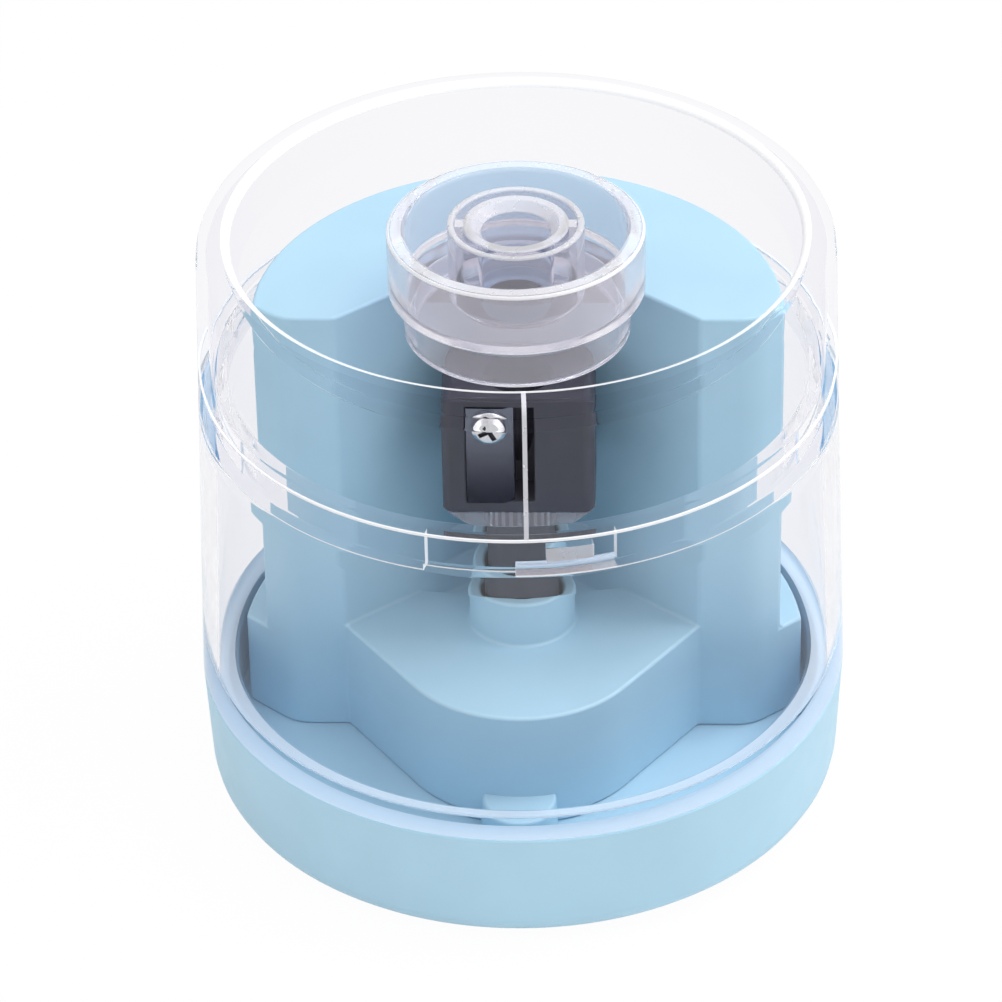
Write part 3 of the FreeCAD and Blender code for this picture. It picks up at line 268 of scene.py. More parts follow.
class SharpenerStage(bpy.types.PropertyGroup):
    """Camera, light and floor"""

    elevation: angle("Elevation", 35.17, "Camera's height above the horizon")
    azimuth: angle("Azimuth", 2.1, "Camera's turn towards +X")
    roll: angle("Roll", 1.01, "How far the camera leans")
    distance: length("Distance", 650.0, "From the camera to the aim")
    aim: length("Aim", 35.5, "Height that the camera looks at")
    lens: amount("Lens", 194.65, "Focal length in millimetres")
    shift_x: amount("Shift X", -0.01965, "Sideways framing")
    shift_y: amount("Shift Y", 0.00876, "Upright framing")
    world: amount("World light", 0.37, "Even light from all round")
    top_power: amount("Top light", 2.0, "Power of the softbox above, in watts")
    key_power: amount("Key light", 2.5, "Power of the softbox at the upper right, in watts")
    left_power: amount("Left light", 0.65, "Power of the softbox at the left, in watts")
    front_power: amount("Front light", 0.6, "Power of the softbox in front, in watts")
    floor_white: amount("Floor white", 0.97, "How far the floor shows as plain white")


# Outlines

def rounded(corners, steps=BEND_STEPS, pitch=None):
    """A closed outline through corners; a third number rounds a corner by that radius.

    A pitch sets the steps of each bend from the length of its arc.
    """
    spots = [Vector(corner[:2]) for corner in corners]
    outline = []
    for i, corner in enumerate(corners):
        here = spots[i]
        if len(corner) == 2:
            outline.append(here)
            continue
        back = spots[i - 1] - here
        ahead = spots[(i + 1) % len(spots)] - here
        if corner[2] == 0 or back.length < MERGE or ahead.length < MERGE:
            outline += [here.copy() for _ in range(steps + 1)]
            continue
        back.normalize()
        ahead.normalize()
        half = back.angle(ahead) / 2
        middle = here + (back + ahead).normalized() * (corner[2] / math.sin(half))
        trim = corner[2] / math.tan(half)
        start, end = here + back * trim - middle, here + ahead * trim - middle
        sweep = start.angle(end)
        if pitch:
            steps = max(2, round(corner[2] * sweep / pitch))
        for k in range(steps + 1):
            share = k / steps
            spoke = start * math.sin((1 - share) * sweep) + end * math.sin(share * sweep)
            outline.append(middle + spoke / math.sin(sweep))
    return outline


def about_axis(spot, turn):
    """A point of radius and height, turned about Z from the front towards +X."""
    return Vector((spot.x * math.sin(turn), -spot.x * math.cos(turn), spot.y))


def rounded_box(half_x, half_y, corner):
    """The corners of a rectangle about the middle, each with its round."""
    return [
        (half_x, -half_y, corner), (half_x, half_y, corner),
        (-half_x, half_y, corner), (-half_x, -half_y, corner),
    ]


# Meshes

def new_piece(name, mesh):
    piece = bpy.data.objects.new(name, mesh)
    bpy.context.scene.collection.objects.link(piece)
    return piece


def from_bmesh(name, shape):
    bmesh.ops.remove_doubles(shape, verts=shape.verts, dist=MERGE)
    bmesh.ops.dissolve_degenerate(shape, dist=MERGE, edges=shape.edges)
    bmesh.ops.recalc_face_normals(shape, faces=shape.faces)
    mesh = bpy.data.meshes.new(name)
    shape.to_mesh(mesh)
    shape.free()
    return new_piece(name, mesh)


def turned(name, sections):
    """A closed body about Z from sections, each an end angle and the outline up to it."""
    shape = bmesh.new()
    rings = []
    start = sections[-1][0] - FULL_TURN
    for stop, outline in sections:
        count = max(1, math.ceil((stop - start) / FULL_TURN * TURN_STEPS))
        for k in range(count + 1):
            turn = start + (stop - start) * k / count
            rings.append([shape.verts.new(about_axis(spot, turn)) for spot in outline])
        start = stop
    for i, ring in enumerate(rings):
        before = rings[i - 1]
        for j in range(len(ring)):
            if math.hypot(*ring[j].co.xy) < MERGE and math.hypot(*ring[j - 1].co.xy) < MERGE:
                continue
            corners = (before[j - 1], before[j], ring[j], ring[j - 1])
            shape.faces.new(corners)
    return from_bmesh(name, shape)


def lathe(name, *corners):
    return turned(name, [(FULL_TURN, rounded(corners))])


def prism(name, outline, low, high, lay=None):
    """A closed body between two levels from an outline of X and Y; lay turns it another way."""
    shape = bmesh.new()
    floor = [shape.verts.new((spot.x, spot.y, low)) for spot in outline]
    roof = [shape.verts.new((spot.x, spot.y, high)) for spot in outline]
    shape.faces.new(floor)
    shape.faces.new(roof)
    for i in range(len(outline)):
        shape.faces.new((floor[i - 1], floor[i], roof[i], roof[i - 1]))
    if lay is not None:
        bmesh.ops.transform(shape, matrix=lay, verts=shape.verts)
    return from_bmesh(name, shape)


def circle(radius, x=0.0, y=0.0):
    steps = max(CIRCLE_STEPS, round(FULL_TURN * radius / PITCH))
    turns = [FULL_TURN * k / steps for k in range(steps)]
    return [Vector((x + radius * math.cos(turn), y + radius * math.sin(turn))) for turn in turns]


def rod(name, radius, low, high, x=0.0, y=0.0):
    return prism(name, circle(radius, x, y), low, high)


def brick(name, x, y, z):
    corners = [(x[0], y[0]), (x[1], y[0]), (x[1], y[1]), (x[0], y[1])]
    return prism(name, [Vector(corner) for corner in corners], z[0], z[1])


def settle(piece):
    """Puts the result of a piece's modifiers into its mesh."""
    graph = bpy.context.evaluated_depsgraph_get()
    done = bpy.data.meshes.new_from_object(piece.evaluated_get(graph))
    piece.modifiers.clear()
    rough = piece.data
    piece.data = done
    bpy.data.meshes.remove(rough)


def combine(piece, kind, *others):
    """Joins the others to a piece or cuts them from it, and clears them away."""
    for other in others:
        step = piece.modifiers.new("Combine", "BOOLEAN")
        step.operation = kind
        step.solver = "EXACT"
        step.object = other
    settle(piece)
    for other in others:
        mesh = other.data
        bpy.data.objects.remove(other)
        bpy.data.meshes.remove(mesh)
    shape = bmesh.new()
    shape.from_mesh(piece.data)
    bmesh.ops.remove_doubles(shape, verts=shape.verts, dist=10 * MERGE)
    bmesh.ops.dissolve_limit(
        shape, angle_limit=FLAT_ANGLE, verts=shape.verts, edges=shape.edges, delimit=set(),
    )
    shape.to_mesh(piece.data)
    shape.free()
    return piece


def ease_edges(piece, width, segments=3):
    """Rounds every sharp edge of a piece a little."""
    ease = piece.modifiers.new("Ease", "BEVEL")
    ease.width = width
    ease.segments = segments
    ease.limit_method = "ANGLE"
    ease.angle_limit = SMOOTH_ANGLE
    ease.use_clamp_overlap = False
    settle(piece)
    return piece


def repaint(piece, slot, chosen):
    """Gives another finish to the faces that chosen picks by a face and its corners."""
    piece.data.materials.append(finish(slot))
    last = len(piece.data.materials) - 1
    for face in piece.data.polygons:
        if chosen(face, [piece.data.vertices[i].co for i in face.vertices]):
            face.material_index = last


def touch_up(piece, slot, *places):
    """Gives another finish to the faces near places of radius and height, each with its reach."""
    def near(face, corners):
        spots = [Vector((corner.xy.length, corner.z)) for corner in corners]
        middle = sum(spots, Vector((0.0, 0.0))) / len(spots)
        return any((middle - Vector(place[:2])).length < place[2] for place in places)

    repaint(piece, slot, near)


def dress(piece, body, slot, look, *nodes):
    """Finishes a piece, puts it on its body and lets it stand for its nodes."""
    piece.data.shade_smooth()
    piece.data.set_sharp_from_angle(angle=SMOOTH_ANGLE)
    evened = piece.modifiers.new("Even normals", "WEIGHTED_NORMAL")
    evened.keep_sharp = True
    settle(piece)
    piece.data.materials.clear()
    piece.data.materials.append(finish(look))
    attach(piece, body)
    if nodes:
        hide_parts(*nodes)
    return piece


# Finishes

class Nodes:
    """A material's nodes, with short ways to add and join them."""

    def __init__(self, name):
        self.material = bpy.data.materials.new(name)
        self.material.use_nodes = True
        self.tree = self.material.node_tree
        self.tree.nodes.clear()
        self.output = self.add("ShaderNodeOutputMaterial")

    def add(self, kind, **settings):
        node = self.tree.nodes.new(kind)
        for key, value in settings.items():
            setattr(node, key, value)
        return node

    def set(self, node, **values):
        for key, value in values.items():
            node.inputs[key.replace("_", " ")].default_value = value

    def join(self, source, target):
        self.tree.links.new(source, target)

    def place(self):
        return self.add("ShaderNodeTexCoord").outputs["Object"]

    def noise(self, scale, detail=3.0, stretch=None):
        """Noise over the object's own metres; stretch draws it out along an axis."""
        texture = self.add("ShaderNodeTexNoise")
        self.set(texture, Scale=scale, Detail=detail)
        spot = self.place()
        if stretch:
            mapping = self.add("ShaderNodeMapping")
            self.set(mapping, Scale=stretch)
            self.join(spot, mapping.inputs["Vector"])
            spot = mapping.outputs["Vector"]
        self.join(spot, texture.inputs["Vector"])
        return texture.outputs["Fac"]

    def spread(self, source, low, high):
        ramp = self.add("ShaderNodeMapRange")
        self.set(ramp, From_Min=0.3, From_Max=0.7, To_Min=low, To_Max=high)
        self.join(source, ramp.inputs["Value"])
        return ramp.outputs["Result"]

    def blend(self, share, first, second):
        """A colour between two by a share; sockets 6 and 7 are the node's colours."""
        mix = self.add("ShaderNodeMix", data_type="RGBA")
        mix.inputs[6].default_value = (*first, 1.0)
        mix.inputs[7].default_value = (*second, 1.0)
        self.join(share, mix.inputs[0])
        return mix.outputs[2]

    def tint(self, source, first, second):
        """A colour between two, chosen by a noise."""
        return self.blend(self.spread(source, 0.0, 1.0), first, second)

    def mix_shaders(self, share, first, second):
        """Sends two shaders, mixed by a share, to the output."""
        mix = self.add("ShaderNodeMixShader")
        for source, socket in zip((share, first, second), mix.inputs):
            self.join(source, socket)
        self.join(mix.outputs["Shader"], self.output.inputs["Surface"])

    def bump(self, shader, source, strength, height):
        relief = self.add("ShaderNodeBump")
        self.set(relief, Strength=strength, Distance=height)
        self.join(source, relief.inputs["Height"])
        self.join(relief.outputs["Normal"], shader.inputs["Normal"])

    def principled(self, **values):
        shader = self.add("ShaderNodeBsdfPrincipled")
        self.set(shader, **values)
        self.join(shader.outputs["BSDF"], self.output.inputs["Surface"])
        return shader


def shade(base, share):
    return tuple(min(1.0, channel * share) for channel in base)


def reckon(tree, operation, first, second):
    """A math node of two values, each an output or a number; gives its output."""
    node = tree.nodes.new("ShaderNodeMath")
    node.operation = operation
    for socket, value in zip(node.inputs, (first, second)):
        if isinstance(value, float):
            socket.default_value = value
        else:
            tree.links.new(value, socket)
    return node.outputs[0]


def moulded_plastic(name, base, roughness, grain, relief=0.12):
    """Satin moulded plastic: fine spark-eroded grain and slight unevenness of colour and gloss."""
    nodes = Nodes(name)
    shader = nodes.principled(IOR=1.5)
    tone = nodes.tint(nodes.noise(90.0, 4.0), shade(base, 0.97), shade(base, 1.03))
    gloss = nodes.spread(nodes.noise(400.0), roughness - 0.05, roughness + 0.05)
    nodes.join(tone, shader.inputs["Base Color"])
    nodes.join(gloss, shader.inputs["Roughness"])
    nodes.bump(shader, nodes.noise(grain, 2.0), relief, 0.00004)
    return nodes.material


def clear_plastic(name, base, side, clear, bend):
    """Clear polished plastic that lamps shine through, greyer where the eye goes along the wall."""
    nodes = Nodes(name)
    shader = nodes.principled(IOR=bend, Transmission_Weight=clear)
    slant = nodes.add("ShaderNodeLayerWeight")
    nodes.set(slant, Blend=0.3)
    nodes.join(nodes.blend(slant.outputs["Facing"], base, side), shader.inputs["Base Color"])
    nodes.join(nodes.spread(nodes.noise(240.0, 4.0), 0.0, 0.03), shader.inputs["Roughness"])
    nodes.bump(shader, nodes.noise(60.0, 1.0, (1.0, 1.0, 0.35)), 0.012, 0.0002)
    let_light_through(nodes, shader, base)
    return nodes.material


def frosted_and_highlight_plastic(name, base, clear, low, high):
    """Clear plastic that also scatters light: milky for thick walls, and pale where it paints highlights and
    light on edges, tops and the shell's foot.
    """
    nodes = Nodes(name)
    shader = nodes.principled(IOR=1.2, Transmission_Weight=clear, Base_Color=(*base, 1.0))
    nodes.join(nodes.spread(nodes.noise(300.0, 4.0), low, high), shader.inputs["Roughness"])
    let_light_through(nodes, shader, base)
    return nodes.material


def let_light_through(nodes, shader, base):
    """Lets the light of lamps and matt surfaces straight through, and rays that have bent too often."""
    path = nodes.add("ShaderNodeLightPath")
    total = reckon(nodes.tree, "GREATER_THAN", path.outputs["Ray Depth"], LAST_BEND)
    for ray in ("Is Shadow Ray", "Is Diffuse Ray"):
        total = reckon(nodes.tree, "MAXIMUM", path.outputs[ray], total)
    through = nodes.add("ShaderNodeBsdfTransparent")
    nodes.set(through, Color=(*base, 1.0))
    nodes.mix_shaders(total, shader.outputs["BSDF"], through.outputs["BSDF"])


def brushed_metal(name, base, roughness, stretch):
    """Metal with fine grinding marks along one way."""
    nodes = Nodes(name)
    shader = nodes.principled(Metallic=1.0)
    marks = nodes.noise(900.0, 3.0, stretch)
    nodes.join(nodes.tint(marks, shade(base, 0.88), shade(base, 1.06)), shader.inputs["Base Color"])
    nodes.join(nodes.spread(marks, roughness - 0.06, roughness + 0.08), shader.inputs["Roughness"])
    nodes.bump(shader, marks, 0.08, 0.00003)
    return nodes.material


def ground_blade(name, reflection_light_tone, reflection_dark_tone, low, high):
    """Blued and ground steel with a painted reflection: lighter at the top and darker towards the blade's
    foot.
    """
    nodes = Nodes(name)
    shader = nodes.principled(Metallic=1.0)
    marks = nodes.noise(900.0, 3.0, (0.08, 1.0, 1.0))
    height = nodes.add("ShaderNodeSeparateXYZ")
    nodes.join(nodes.place(), height.inputs["Vector"])
    climb = nodes.add("ShaderNodeMapRange", interpolation_type="SMOOTHSTEP")
    nodes.set(climb, From_Min=low, From_Max=high)
    nodes.join(height.outputs["Z"], climb.inputs["Value"])
    nodes.join(nodes.blend(climb.outputs["Result"], reflection_dark_tone, reflection_light_tone), shader.inputs["Base Color"])
    nodes.join(nodes.spread(marks, 0.14, 0.26), shader.inputs["Roughness"])
    nodes.bump(shader, marks, 0.05, 0.00003)
    return nodes.material


def rubber(name, base):
    """Matt rubber with a slightly dusty, pitted skin."""
    nodes = Nodes(name)
    shader = nodes.principled(IOR=1.52)
    tone = nodes.tint(nodes.noise(700.0, 4.0), shade(base, 0.85), shade(base, 1.1))
    nodes.join(tone, shader.inputs["Base Color"])
    nodes.join(nodes.spread(nodes.noise(500.0), 0.75, 0.92), shader.inputs["Roughness"])
    nodes.bump(shader, nodes.noise(2500.0, 2.0), 0.3, 0.00005)
    return nodes.material


FINISHES = {}


def finish(look):
    """The material for one of the record's slots or for a special place on a piece, made once."""
    if look in FINISHES:
        return FINISHES[look]
    tones = bpy.context.scene.sharpener_finish
    clear, side = tones.clear, tones.clear_side
    blade_low, blade_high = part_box("blade")
    makers = {
        "blue_plastic": (moulded_plastic, "pastel_blue_plastic", tones.blue, 0.46, 5200.0),
        "clear_plastic": (clear_plastic, "clear_polished_plastic", clear, side, 1.0, 1.06),
        "clear_dish": (clear_plastic, "clear_dish_plastic", clear, clear, 1.0, 1.004),
        "clear_rim": (clear_plastic, "clear_rim_plastic", clear, side, 1.0, 1.004),
        "clear_shell": (clear_plastic, "clear_shell_plastic", clear, side, 0.968, 1.05),
        # Painted highlights: the white edge finish stands in for the shine of the softboxes along clear
        # edges.
        "clear_edge_highlight": (frosted_and_highlight_plastic, "clear_plastic_edge", clear, 0.35, 0.45, 0.6),
        "clear_haze": (frosted_and_highlight_plastic, "clear_thick_plastic", tones.haze, 0.8, 0.02, 0.08),
        # Painted highlight: a pale finish for tops that catch the light from above, also put on the rib and
        # the lugs.
        "clear_top_highlight": (frosted_and_highlight_plastic, "clear_plastic_top", side, 0.5, 0.2, 0.35),
        "clear_foot_painted_light": (frosted_and_highlight_plastic, "clear_plastic_foot", tones.foot, 0.38, 0.4, 0.55),
        "dark_plastic": (moulded_plastic, "charcoal_plastic", tones.dark, 0.5, 4200.0, 0.2),
        "blade_steel": (
            ground_blade, "ground_blade_steel", tones.blade, tones.blade_low, blade_low.z, blade_high.z,
        ),
        "plated_steel": (brushed_metal, "bright_plated_steel", tones.steel, 0.2, (1.0, 1.0, 0.15)),
        "gear_plastic": (moulded_plastic, "natural_gear_plastic", tones.gear, 0.4, 3000.0),
        "frame_plastic": (moulded_plastic, "black_frame_plastic", tones.frame, 0.5, 2500.0, 0.3),
        "bush_brass": (brushed_metal, "turned_brass", tones.brass, 0.26, (1.0, 1.0, 0.1)),
        "magnet_grey": (moulded_plastic, "sintered_magnet", tones.magnet, 0.6, 1800.0, 0.4),
        "rubber_grey": (rubber, "matt_rubber", tones.rubber),
        "cell_jacket": (moulded_plastic, "cell_sleeve", tones.cell, 0.3, 900.0, 0.05),
    }
    maker, *values = makers[look]
    FINISHES[look] = maker(*values)
    return FINISHES[look]


# Base, shell and lid

def build_base(case):
    low, ring_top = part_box("base_cup")[0].z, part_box("base_cup")[1].z
    floor_low, floor_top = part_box("battery_door")[0].z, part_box("motor_housing")[0].z
    hollow = case.base_foot - case.skirt
    bore = case.base_radius - case.ring
    edge = case.edge
    cup = lathe(
        "base_cup_moulding",
        (0.0, floor_low), (hollow, floor_low, edge), (hollow, low, edge),
        (case.base_foot, low, case.base_round), (case.base_radius, ring_top, edge),
        (bore, ring_top, edge), (bore, floor_top, 2 * edge), (0.0, floor_top),
    )
    combine(cup, "DIFFERENCE", *underside_holes(case, floor_low, floor_top))
    dress(cup, "base", "blue_plastic", "blue_plastic", "base_cup")


def underside_holes(case, floor_low, floor_top):
    """What is cut from the floor for the battery door, its hinge and the screws."""
    low, high = floor_low - SPILL, floor_top + SPILL
    door_low, door_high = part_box("battery_door")
    cell_x = (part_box("battery_right")[0].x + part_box("battery_right")[1].x) / 2
    gap = case.door_gap
    end = door_high.x - cell_x + gap
    reach, far = door_high.x + gap, door_high.y + gap
    near = far - 2 * end
    corners = [(reach, near, end), (reach, far, end), (-reach, far, end), (-reach, near, end)]
    half = case.hinge_slot / 2
    holes = [
        prism("door_hole", rounded(corners, pitch=PITCH), low, high),
        brick("hinge_hole", (-half, half), (door_low.y - 2 * gap, near + end), (low, high)),
    ]
    screw_low, screw_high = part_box("housing_screws")
    head = case.screw_head
    side, side_y, front_y = screw_high.x - head, screw_high.y - head, screw_low.y + head
    for x, y in ((0.0, front_y), (side, side_y), (-side, side_y)):
        holes.append(rod("screw_seat", head + case.screw_gap, low, floor_low + case.screw_sink, x, y))
    return holes


def bayonet_sections(case, plain, *spans):
    """The outlines round a body: the plain one, and others over spans of angle at each bayonet."""
    sections = []
    for i in range(BAYONETS):
        clock = case.lid_clock + i * FULL_TURN / BAYONETS
        sections.append((clock + spans[0][0], plain))
        for _, stop, outline in spans:
            sections.append((clock + stop, outline))
    return sections


def build_shell(case):
    low, neck_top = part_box("lower_shell")[0].z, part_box("lower_shell")[1].z
    base_top, lid_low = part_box("base_cup")[1].z + HAIR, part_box("lid")[0].z - HAIR
    foot_top = base_top + case.shell_foot
    spigot = case.base_radius - case.ring - case.spigot_gap
    bore = spigot - case.spigot_wall
    neck = case.shell_top - case.lid_wall - case.neck_gap
    inside = neck - case.neck_wall
    lug_low = lid_low + case.lug_low
    lug_top = lug_low + case.lug_tall
    blend_top = lid_low - case.shell_wall
    edge = case.edge

    def outline(lug):
        bend = 0.3 * edge if lug else 0.0
        return rounded([
            (case.base_radius, base_top, 0.5 * edge), (case.shell_top, lid_low, 0.5 * edge), (neck, lid_low),
            (neck, lug_low), (neck + lug, lug_low, bend), (neck + lug, lug_top, bend), (neck, lug_top),
            (neck, neck_top, 0.5 * edge), (inside, neck_top, 0.5 * edge), (inside, blend_top, edge),
            (case.shell_top - case.shell_wall, blend_top - case.neck_blend, edge),
            (case.base_radius - case.shell_wall, foot_top, 2 * edge), (bore, foot_top, edge),
            (bore, low, 0.5 * edge), (spigot, low, 0.5 * edge), (spigot, base_top),
        ])

    shell = turned("clear_shell", bayonet_sections(
        case, outline(0.0), (case.lug_from, case.lug_to, outline(case.lug_proud)),
    ))
    dress(shell, "base", "clear_plastic", "clear_shell", "lower_shell")
    lug_middle = (neck + case.lug_proud, (lug_low + lug_top) / 2)
    spigot_middle = ((bore + spigot) / 2, (low + base_top) / 2)
    # The lugs take the pale painted-highlight finish.
    touch_up(shell, "clear_top_highlight", (*lug_middle, 0.9 * case.lug_proud))
    touch_up(shell, "clear_rim", (*spigot_middle, case.spigot_wall + case.shell_foot))
    # Painted light on the shell's foot, pale blue as if lit from above.
    touch_up(shell, "clear_foot_painted_light", (case.base_radius - case.shell_wall, base_top, 1.6 * case.shell_foot))


def build_lid(case, socket):
    low, rim_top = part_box("lid")[0].z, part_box("lid")[1].z
    neck_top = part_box("lower_shell")[1].z
    dish_top = rim_top - case.dish_depth
    dish_low = dish_top - case.dish_wall
    bore_low, bore_high = case.shell_top - case.lid_wall, case.lid_top - case.rim_wall
    slope = (case.crest - case.dish) / case.dish_depth
    dish_side = case.dish + case.rim_wall * math.hypot(1.0, slope)
    deep = case.shell_top - case.lid_wall - case.neck_gap + case.lug_proud + case.pocket_gap
    run_low = low + case.lug_low - case.pocket_gap
    solid_low = rim_top - case.rim_wall
    edge = case.edge

    def bore_at(height):
        return bore_low + (bore_high - bore_low) * (height - low) / (solid_low - low)

    def outline(foot_lift, mouth, pocket):
        foot = low + foot_lift
        return rounded([
            (case.shell_top, foot, edge), (case.lid_top, rim_top, case.rim_round),
            (case.crest, rim_top, case.crest_round), (case.dish, dish_top, case.dish_round),
            (socket.spigot, dish_top), (socket.spigot, dish_low),
            (dish_side - case.dish_wall * slope, dish_low, case.dish_round + case.rim_wall),
            (dish_side + (solid_low - dish_top) * slope, solid_low, edge),
            (bore_high, solid_low, case.rim_round - case.rim_wall), (bore_at(neck_top), neck_top),
            (pocket or bore_at(neck_top), neck_top), (pocket or bore_at(run_low), run_low),
            (mouth or bore_at(run_low), run_low), (mouth or bore_at(foot), foot, 0.5 * edge),
        ])

    lid = turned("clear_lid", bayonet_sections(
        case, outline(0.0, None, None),
        (-case.entry, -case.step, outline(case.entry_lift, deep, deep)),
        (-case.step, case.pocket, outline(0.0, None, deep)),
    ))
    dress(lid, "lid", "clear_plastic", "clear_plastic", "lid")
    # Painted highlights: white lines along the rim's crest and the lid's lower edges.
    touch_up(
        lid, "clear_edge_highlight", (case.crest, rim_top, 0.95 * case.crest_round), (case.shell_top, low, 1.2 * edge),
        (case.shell_top, low + case.entry_lift, 1.2 * edge),
    )
    finish_lid(lid, case, run_low, neck_top + case.pocket_gap)
    # A thin white ring along the top of the bayonet track: a painted highlight line.
    outer = case.shell_top - case.rib_skin
    inner, half = outer - case.track_line, case.track_line / 2
    track = lathe(
        "lid_track_line", (inner, neck_top - half), (outer, neck_top - half), (outer, neck_top + half),
        (inner, neck_top + half),
    )
    dress(track, "lid", "clear_plastic", "clear_edge_highlight")
    build_rib(case, neck_top, rim_top)


def finish_lid(lid, case, run_low, wall_low):
    """Paints highlights on the front bayonet's steps, keeps the thin walls free of bent light and hazes the
    ledge.
    """
    def turn(face):
        return math.atan2(face.center.x, -face.center.y) - case.lid_clock

    def step(face, corners):
        outwards = Vector((face.center.x, face.center.y, 0.0)).normalized()
        at_front = abs(turn(face)) < 2 * case.entry
        return at_front and abs(face.normal.dot(outwards)) < STEEP and abs(face.normal.z) < STEEP

    def dish(face, corners):
        radius = sum(corner.xy.length for corner in corners) / len(corners)
        return radius < case.crest - 0.5 * case.crest_round

    def wall(face, corners):
        return face.material_index == 0 and max(corner.z for corner in corners) > wall_low

    def ledge(face, corners):
        below = face.material_index == 0 and face.center.z < run_low
        return below and -case.step < turn(face) < case.pocket

    # Painted highlights on the faces of the front bayonet's steps.
    repaint(lid, "clear_edge_highlight", step)
    repaint(lid, "clear_dish", dish)
    repaint(lid, "clear_rim", wall)
    repaint(lid, "clear_haze", ledge)


def build_rib(case, neck_top, rim_top):
    """The rib that stands in the front wall of the lid and bends over its rim."""
    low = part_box("lid")[0].z
    wall_turn = math.atan((case.shell_top - case.lid_top) / (rim_top - low))

    def shifted(depth):
        foot = case.shell_top - (neck_top - low) * math.tan(wall_turn) - depth
        top = rim_top - depth
        return [(foot, neck_top), (case.lid_top - depth, top, case.rim_round - depth), (case.crest, top)]

    skin, back = case.rib_skin, case.rib_skin + case.rib_thick
    outline = rounded(shifted(skin) + list(reversed(shifted(back))), FINE_STEPS)
    half = case.rib / 2
    upright = Matrix(((0, 0, 1, 0), (-1, 0, 0, 0), (0, 1, 0, 0), (0, 0, 0, 1)))
    rib = prism("lid_rib", outline, -half, half, Matrix.Rotation(case.lid_clock, 4, "Z") @ upright)
    # The real rib is drawn white with the pale painted-highlight finish.
    dress(rib, "lid", "clear_plastic", "clear_top_highlight")


def build_socket(case, socket):
    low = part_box("pencil_socket")[0].z - socket.spigot_reach
    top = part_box("pencil_socket")[1].z
    guide_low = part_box("pencil_guide")[0].z
    dish_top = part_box("lid")[1].z - case.dish_depth + HAIR
    ring_top = top - socket.ring_drop
    ring_inner = socket.radius - socket.wall
    tube_bore = socket.tube - socket.tube_wall
    spigot = socket.spigot - HAIR
    edge = socket.edge
    ring = lathe(
        "pencil_socket_ring",
        (tube_bore, guide_low, edge), (spigot - socket.spigot_wall, guide_low, edge),
        (spigot - socket.spigot_wall, low, edge), (spigot, low, edge), (spigot, dish_top),
        (socket.radius, dish_top, edge), (socket.radius, ring_top, 2 * edge),
        (ring_inner, ring_top, 2 * edge), (ring_inner, dish_top, edge),
        (socket.tube, dish_top, edge), (socket.tube, top, edge), (tube_bore, top, edge),
    )
    dress(ring, "lid", "clear_plastic", "clear_haze", "pencil_socket")
    # Painted highlights on the ring's edges and the spigot's foot.
    touch_up(
        ring, "clear_edge_highlight", (socket.radius, dish_top, 2 * edge), (socket.radius, ring_top, 1.5 * edge),
        (spigot, low, 2 * edge),
    )
    # Painted highlights on the ring's flat top and the tube's rim.
    touch_up(
        ring, "clear_top_highlight", ((socket.radius + ring_inner) / 2, ring_top, socket.wall / 2 - 2 * edge),
        (socket.tube - socket.tube_wall / 2, top, socket.tube_wall),
    )
    build_guide(socket, tube_bore)


def build_guide(socket, tube_bore):
    """The bush with the pencil hole and its two keys, inside the tube."""
    low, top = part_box("pencil_guide")[0].z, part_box("pencil_guide")[1].z
    flange, flange_top = tube_bore - HAIR, low + socket.guide_flange
    lead_in = socket.hole + socket.chamfer
    edge = socket.edge
    guide = lathe(
        "pencil_guide_bush",
        (socket.hole, low, edge), (flange, low, edge), (flange, flange_top, edge),
        (socket.guide, flange_top, edge), (socket.guide, top, edge),
        (lead_in, top, edge), (socket.hole, top - socket.chamfer, edge),
    )
    inner, outer = (lead_in + socket.guide) / 2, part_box("pencil_guide")[1].x
    if outer >= tube_bore:
        outer = tube_bore - socket.key_gap
    keys = []
    for side in (1, -1):
        ends = sorted((side * inner, side * outer))
        levels = (top - socket.key_tall, top - 0.2 * edge)
        keys.append(brick("key", ends, (-socket.key_half, socket.key_half), levels))
    combine(guide, "UNION", *keys)
    dress(guide, "lid", "clear_plastic", "clear_plastic", "pencil_guide")
    # Painted highlights on the guide's top and its chamfer.
    touch_up(
        guide, "clear_top_highlight", (socket.guide, top, socket.chamfer), (socket.hole, top, 1.2 * socket.chamfer),
    )


# Motor housing

def front_cutter(name, housing, grow, low, high):
    """Everything in front of the tower, with the recess that the cutter turns in."""
    radius = housing.recess + grow
    face = grow - housing.face
    corner = (radius - face * math.sin(housing.recess_turn)) / math.cos(housing.recess_turn)
    bend = housing.face_end - grow * math.tan(housing.face_turn / 2)
    reach = housing.plinth + 2 * SPILL
    edge = face + (reach - bend) * math.tan(housing.face_turn)
    right = [(corner, face), (bend, face, housing.face_round), (reach, edge), (reach, -reach)]
    left = [(-spot[0], *spot[1:]) for spot in reversed(right)]
    tip = [(0.0, radius / math.sin(housing.recess_turn), radius)]
    return prism(name, rounded(right + left + tip, pitch=PITCH), low, high)


def platform_corner(housing):
    """Half the platform's width at the tower's face, and the length of its slanting side."""
    turn = housing.recess_turn
    corner = (housing.recess + housing.face * math.sin(turn)) / math.cos(turn)
    return corner, math.hypot(corner, housing.apex - housing.face)


def platform_block(name, housing, grow, low, high, back):
    """The platform under the collar, drawn in by grow."""
    full_corner, slant = platform_corner(housing)
    face = grow - housing.face
    apex = grow * slant / full_corner - housing.apex
    corner = (face - apex) * full_corner / (housing.apex - housing.face)
    outline = rounded([
        (corner, face), (corner, back), (-corner, back), (-corner, face),
        (0.0, apex, housing.platform - grow),
    ], pitch=PITCH)
    return prism(name, outline, low, high)


